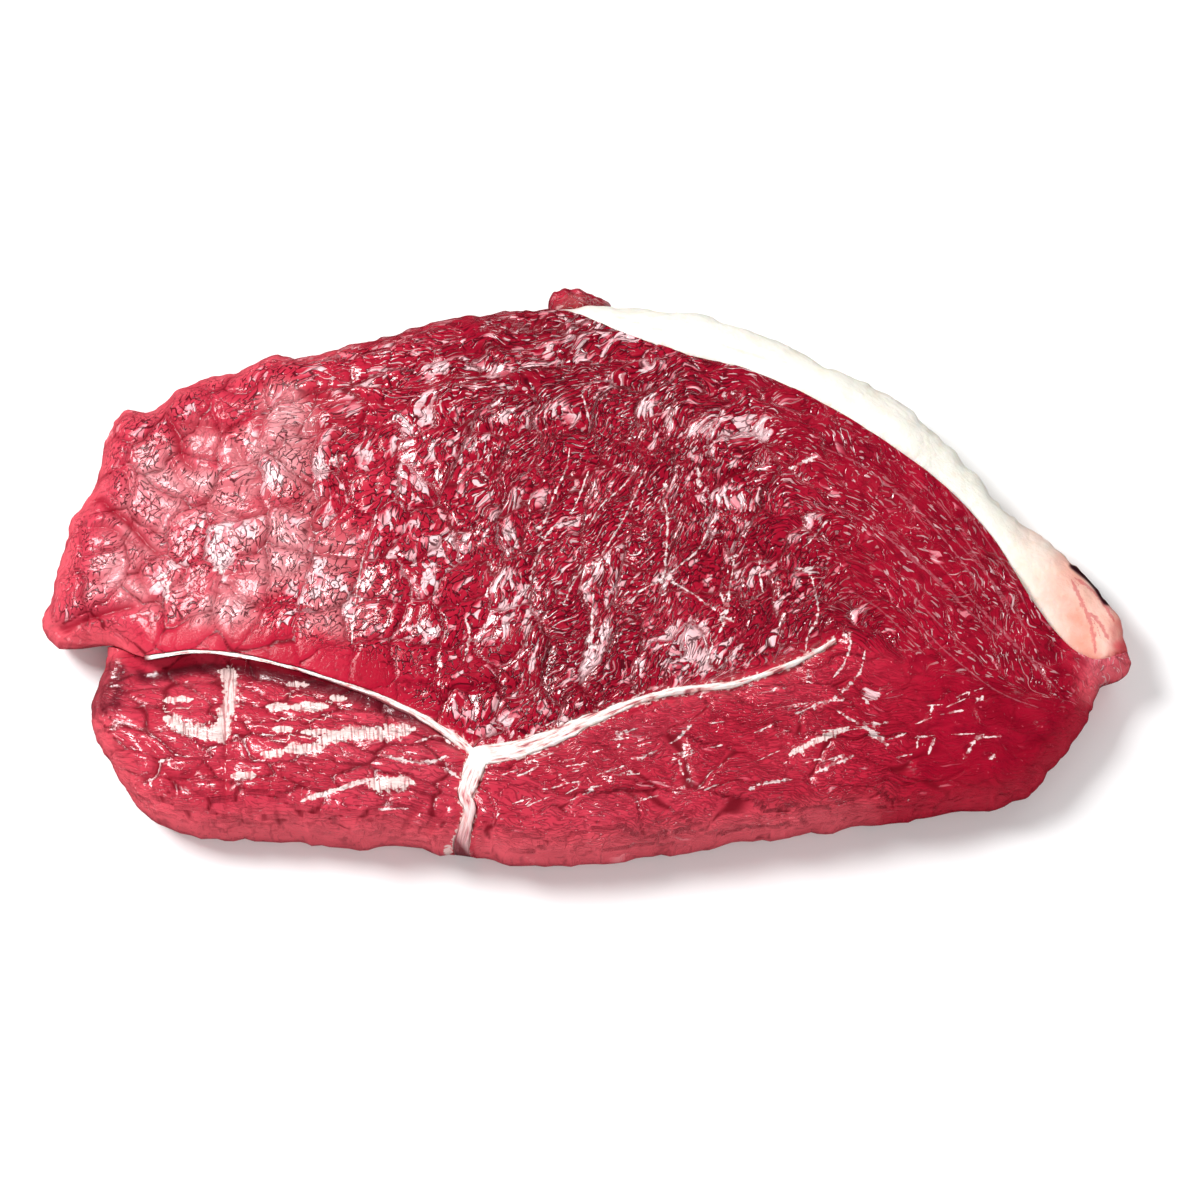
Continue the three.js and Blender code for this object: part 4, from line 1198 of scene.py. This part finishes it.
def lean_material():
    """Raw lean beef, knife cut and wet: dark red fibres in bundles, seen through a film of meat juice.
    The eye gets sharp white glints off fine wrinkles, from the wet coat and as painted highlights, dark
    cracks between bundles, darkened as painted shade, and pale flecks of connective tissue. The colour
    also holds painted sheen over pale patches, painted shade in creases and valleys, and a painted glow
    at the thin edges."""
    made, add = material("raw_lean_beef")
    colour = add("ValToRGB", {"Fac": "paleness"})
    stops = colour.node.color_ramp.elements
    while len(stops) < len(LEAN_COLOURS):
        stops.new(0.5)
    for k, code in enumerate(LEAN_COLOURS):
        stops[k].position = k / (len(LEAN_COLOURS) - 1)
        stops[k].color = linear(code)

    height, line, chance = wrinkle_pattern(add)
    painted_sheen_cells = add("math", "SUBTRACT", add("times", "veil", 1.3), chance)
    glints = add("noise", add("vector", "MULTIPLY", add("way", "wrinkle_place"), (1.1, 2.2, 1)), 1, 1)
    ragged = speckle(add, 0.77, 3)
    ticks = add("share", speckle(add, 1.0, 1, (0.4, 5, 5), 0.1), 0.38, 0.5, 0.35, 0.95)
    broken = add("share", speckle(add, 1.5, 2), 0.4, 0.52, 0.2, 0.95)
    # painted glow of light through the thin edges: a red rim, coral where the lean is pale
    painted_rim_glow = add("over", "#bf2038", "#ee5f6c", add("share", "paleness", 0.3, 0.6, 0, 1))
    fringe = add("math", "MULTIPLY_ADD", ragged, 3.2, "sinew_edge")
    by_fat = add("share", "fat_side", 0, 1, 0.85, 0.1)
    thread = add("times", mark_share(add, "thread", ragged, 7.0, 0.4, 2.2), "fat_side")
    for share, over in (
        (add("share", "bundle_tone", 0, 1, 0, 0.35), "#9c0020"),
        (add("times", add("share", speckle(add, 2.6, 4), 0.45, 0.68, 0, 0.5), "fat_side"), "#74001c"),
        (add("times", add("share", speckle(add, 0.8, 2), 0.68, 0.74, 0, 0.6), "fat_side"), "#d2586a"),
        # painted sheen: a broad pink bloom over the left end
        (add("share", "soft_veil", 0.1, 1, 0, 0.6), "#f3b9bd"),
        # painted sheen: pale cells where the sheen patches lie
        (add("share", painted_sheen_cells, 0, 0.12, 0, 0.7), "#e2506a"),
        (add("share", painted_sheen_cells, 0.04, 0.26, 0, 0.95), "#fbcdd2"),
        # painted glow at the thin edges
        (add("share", "inward", 0.3, 6, 0.75, 0), painted_rim_glow),
        # painted shade: a darker red band along the cracks
        ("valley", "#a81230"),
        # painted shade: a dark line along each wrinkle's valley
        (add("times", line, "line_share"), "#42000d"),
        # painted highlights: white glints off the wrinkles, each with a dark edge of painted shade
        # beside it
        (add("times", add("share", glints, 0.61, 0.65, 0, 0.4), "glint_share"), "#42000d"),
        (add("times", add("share", glints, 0.66, 0.69, 0, 0.95), "glint_share"), "#ffdfe2"),
        # painted shade: dark lines in the cracks between large and small bundles
        (add("times", add("share", "crack", 0.02, 0.24, 1, 0), by_fat), "#60000f"),
        (add("share", "fine_crack", 0, 0.2, 0.35, 0), "#60000f"),
        # painted shade in the creases
        (add("share", "crease", 0.3, 1.4, 0, 0.8), "#950a24"),
        (add("share", "shade", 0, 1, 0, 0.85), "#4c0516"),
        (add("times", thread, 0.4), "#c0707c"),
        (add("share", fringe, 1.5, 1.9, 0.9, 0), "#f3d3cf"),
        # pale films of tissue, painted partly as the sheen that glistens on them
        (add("times", mark_share(add, "film", ragged, 2.4, 0.7, 1.1), ticks), "#f6dcd8"),
        (add("times", mark_share(add, "fleck", ragged, 7.5, 0.4, 1.3), broken), "#f9dfdf"),
    ):
        colour = add("over", colour, over, share)
    wrinkled = add("times", height, "wrinkle_depth")
    relief = add("math", "MULTIPLY_ADD", speckle(add, 0.45, 2), 0.04, wrinkled)
    bump = add("Bump", {"Distance": 1.0, "Height": add("times", relief, MM)})
    shader = add("BsdfPrincipled", {
        "Base Color": colour, "Normal": bump, "Coat Normal": bump, "Roughness": 0.45, "IOR": 1.4,
        "Specular IOR Level": 0.1, "Coat Weight": "wet", "Coat Roughness": 0.12, "Coat IOR": 1.62})
    add("OutputMaterial", {"Surface": shader})
    return made


def fat_material():
    """Cold beef fat: firm, waxy and cream, lit through a few millimetres, turning pink towards the
    pointed end where a thin layer of lean shows through."""
    made, add = material("beef_fat")
    colour = "#fff8ec"
    vein = mark_share(add, "vein", speckle(add, 0.77, 3), 5.0, 0.5, 1.8)
    for share, over in (
        ("pink", "#f39a84"),
        (add("share", speckle(add, 3.8, 4), 0.5, 0.75, 0, 0.3), "#f6d9c0"),
        (add("share", "film", 0.15, 0.6, 0.35, 0), "#eda9a2"),
        (add("times", vein, 0.6), "#d34a58"),
        (add("share", "tip", 0.2, 1, 0, 0.9), "#cf2f42"),
        (add("share", "dark_edge", 0.5, 1.3, 1, 0), "#3c0c18"),
    ):
        colour = add("over", colour, over, share)
    relief = add("times", speckle(add, 1.4, 4), 0.35 * MM)
    shader = add("BsdfPrincipled", {
        "Base Color": colour, "Normal": add("Bump", {"Distance": 1.0, "Height": relief}),
        "Roughness": 0.45, "IOR": 1.46, "Subsurface Weight": 0.4, "Subsurface Scale": 4 * MM,
        "Subsurface Radius": (1.0, 0.65, 0.45), "Coat Weight": 0.3, "Coat Roughness": 0.3})
    add("OutputMaterial", {"Surface": shader})
    return made


def sinew_material():
    """Connective tissue, the silver skin between two muscles: tough white collagen, pearly and wet,
    with pink where it thins over the lean, and dark red painted shade on the left arm's face below its
    top."""
    made, add = material("connective_tissue")
    streaks = add("TexNoise", {"Vector": add("way", "fibres"), "Scale": 1.0, "Detail": 3.0}, "Fac")
    colour = "#fff3ee"
    for share, over in (
        (add("times", add("share", streaks, 0.46, 0.6, 0, 0.9), "streaky"), "#ecb0ac"),
        (add("times", add("share", streaks, 0.58, 0.66, 0, 0.85), "streaky"), "#a33c4c"),
        (add("share", "pinkness", 0, 1, 0, 0.85), "#e08a92"),
        # painted shade on the face that stands below the top along the left arm
        (add("share", "below", 0.3, 1.2, 0, 0.9), "#8e1a32"),
    ):
        colour = add("over", colour, over, share)
    relief = add("times", add("times", streaks, "streaky"), -0.6 * MM)
    shader = add("BsdfPrincipled", {
        "Base Color": colour, "Normal": add("Bump", {"Distance": 1.0, "Height": relief}),
        "Roughness": 0.38, "IOR": 1.42, "Subsurface Weight": 0.25, "Subsurface Scale": 2 * MM,
        "Subsurface Radius": (1.0, 0.5, 0.4), "Coat Weight": 0.8, "Coat Roughness": 0.2})
    add("OutputMaterial", {"Surface": shader})
    return made


# ---- The steak -----------------------------------------------------------------------------------

lean = lean_material()

muscle = main_muscle()
finish_lean(muscle, upper_bundles, UPPER_EDGE)
into_frame(muscle, "main_muscle", lean)

lower = lower_muscle()
finish_lean(lower, lower_bundles, LOWER_EDGE)
into_frame(lower, "lower_muscle", lean)

sheet = connective_sheet()
x, y, z = coordinates(sheet.data).T
from_knot = np.hypot(x - SEAM_KNOT[0], y - SEAM_KNOT[1])
add_fields(
    sheet.data, fibres=fibres(x, y), streaky=smooth((from_knot - 1.6) / 2),
    pinkness=smooth((-39 - y) / 7) * (0.7 + 0.5 * clouds(x, y, 3, 105)),
    # how far below its top the left arm lies, where the colour lays painted shade
    below=(sinew_height(x, y) - z) * smooth((SEAM_KNOT[0] - x) / 12))
into_frame(sheet, "connective_sheet", sinew_material())

fat = fat_cap()
x, y, _ = coordinates(fat.data).T
vein_lines = [((VEIN,), drawn(pixels, 14, MARK_SPACING)) for pixels in FAT_VEINS]
add_fields(
    fat.data, pink=smooth((x - 74) / 20) * (0.8 + 0.4 * clouds(x, y, 5, 95)),
    tip=smooth((x - 92) / 7) * smooth((-2 - y) / 5) * (0.8 + 0.5 * clouds(x, y, 3, 107)),
    vein=marks(vein_lines, x, y), film=nearest(drawn(FAT_FILM, 17), x, y)[0],
    dark_edge=nearest(drawn(FAT_DARK_EDGE, 10), x, y)[0])
into_frame(fat, "fat_cap", fat_material())

# The scrap is torn, not cut, so it has no bundles and no dark lines.
scrap = lean_scrap()
finish_lean(scrap, upper_bundles, UPPER_EDGE)
x, _, z = coordinates(scrap.data).T
add_fields(
    scrap.data, crack=9, fine_crack=9, inward=9, line_share=0, valley=0, crease=0, bundle_tone=0,
    # painted sheen over the scrap's right end
    paleness=0.5 + 0.2 * clouds(x, z, 3, 115), soft_veil=1.2 * smooth((x - 2) / 3))
into_frame(scrap, "lean_scrap", lean)


# ---- Stage ---------------------------------------------------------------------------------------


def table():
    """A wide white floor under the steak. It isn't seen mirrored in the wet film."""
    reach = 3.0
    corners = np.array([(-reach, -reach, 0), (reach, -reach, 0), (reach, reach, 0), (-reach, reach, 0)])
    made = solid("table", corners, [(0, 1, 2, 3)])
    paint, add = material("white_table")
    shader = add("BsdfPrincipled", {
        "Base Color": "#f7f7f7", "Roughness": 0.9, "Specular IOR Level": 0.1})
    add("OutputMaterial", {"Surface": shader})
    made.data.materials.append(paint)
    made.visible_glossy = False
    bpy.context.scene.collection.objects.link(made)


def soft_light(name, place, size, power, glints=True):
    """A softbox at a place in metres, facing the middle of the steak. One without glints only lights
    the surfaces and isn't seen mirrored in the wet film."""
    light = bpy.data.lights.new(name, "AREA")
    light.shape = "RECTANGLE"
    light.size, light.size_y = size
    light.energy = power
    made = bpy.data.objects.new(name, light)
    made.visible_glossy = glints
    made.location = place
    away = np.array(place) / np.linalg.norm(place)
    made.rotation_euler = (math.acos(away[2]), 0, math.atan2(away[1], away[0]) + math.pi / 2)
    bpy.context.scene.collection.objects.link(made)


table()
soft_light("key", (-0.38, 0.16, 0.61), (0.25, 0.25), 5.2)
soft_light("fill", (0.35, -0.9, 1.2), (1.5, 1.5), 10.0, glints=False)
soft_light("back_fill", (0.4, 0.9, 0.9), (1.0, 1.0), 4.0, glints=False)
world = bpy.data.worlds.new("studio")
world.use_nodes = True
world.node_tree.nodes["Background"].inputs["Color"].default_value = linear("#ffffff")
world.node_tree.nodes["Background"].inputs["Strength"].default_value = 0.3
bpy.context.scene.world = world
world.cycles_visibility.glossy = False

camera_data = bpy.data.cameras.new("camera")
camera_data.lens = LENS
camera_data.sensor_width = SENSOR
camera_data.clip_start = 0.01
camera = bpy.data.objects.new("camera", camera_data)
camera.location = EYE * MM
camera.rotation_euler = (TILT, 0, 0)
bpy.context.scene.collection.objects.link(camera)
bpy.context.scene.camera = camera
bpy.context.scene.view_settings.view_transform = "Standard"
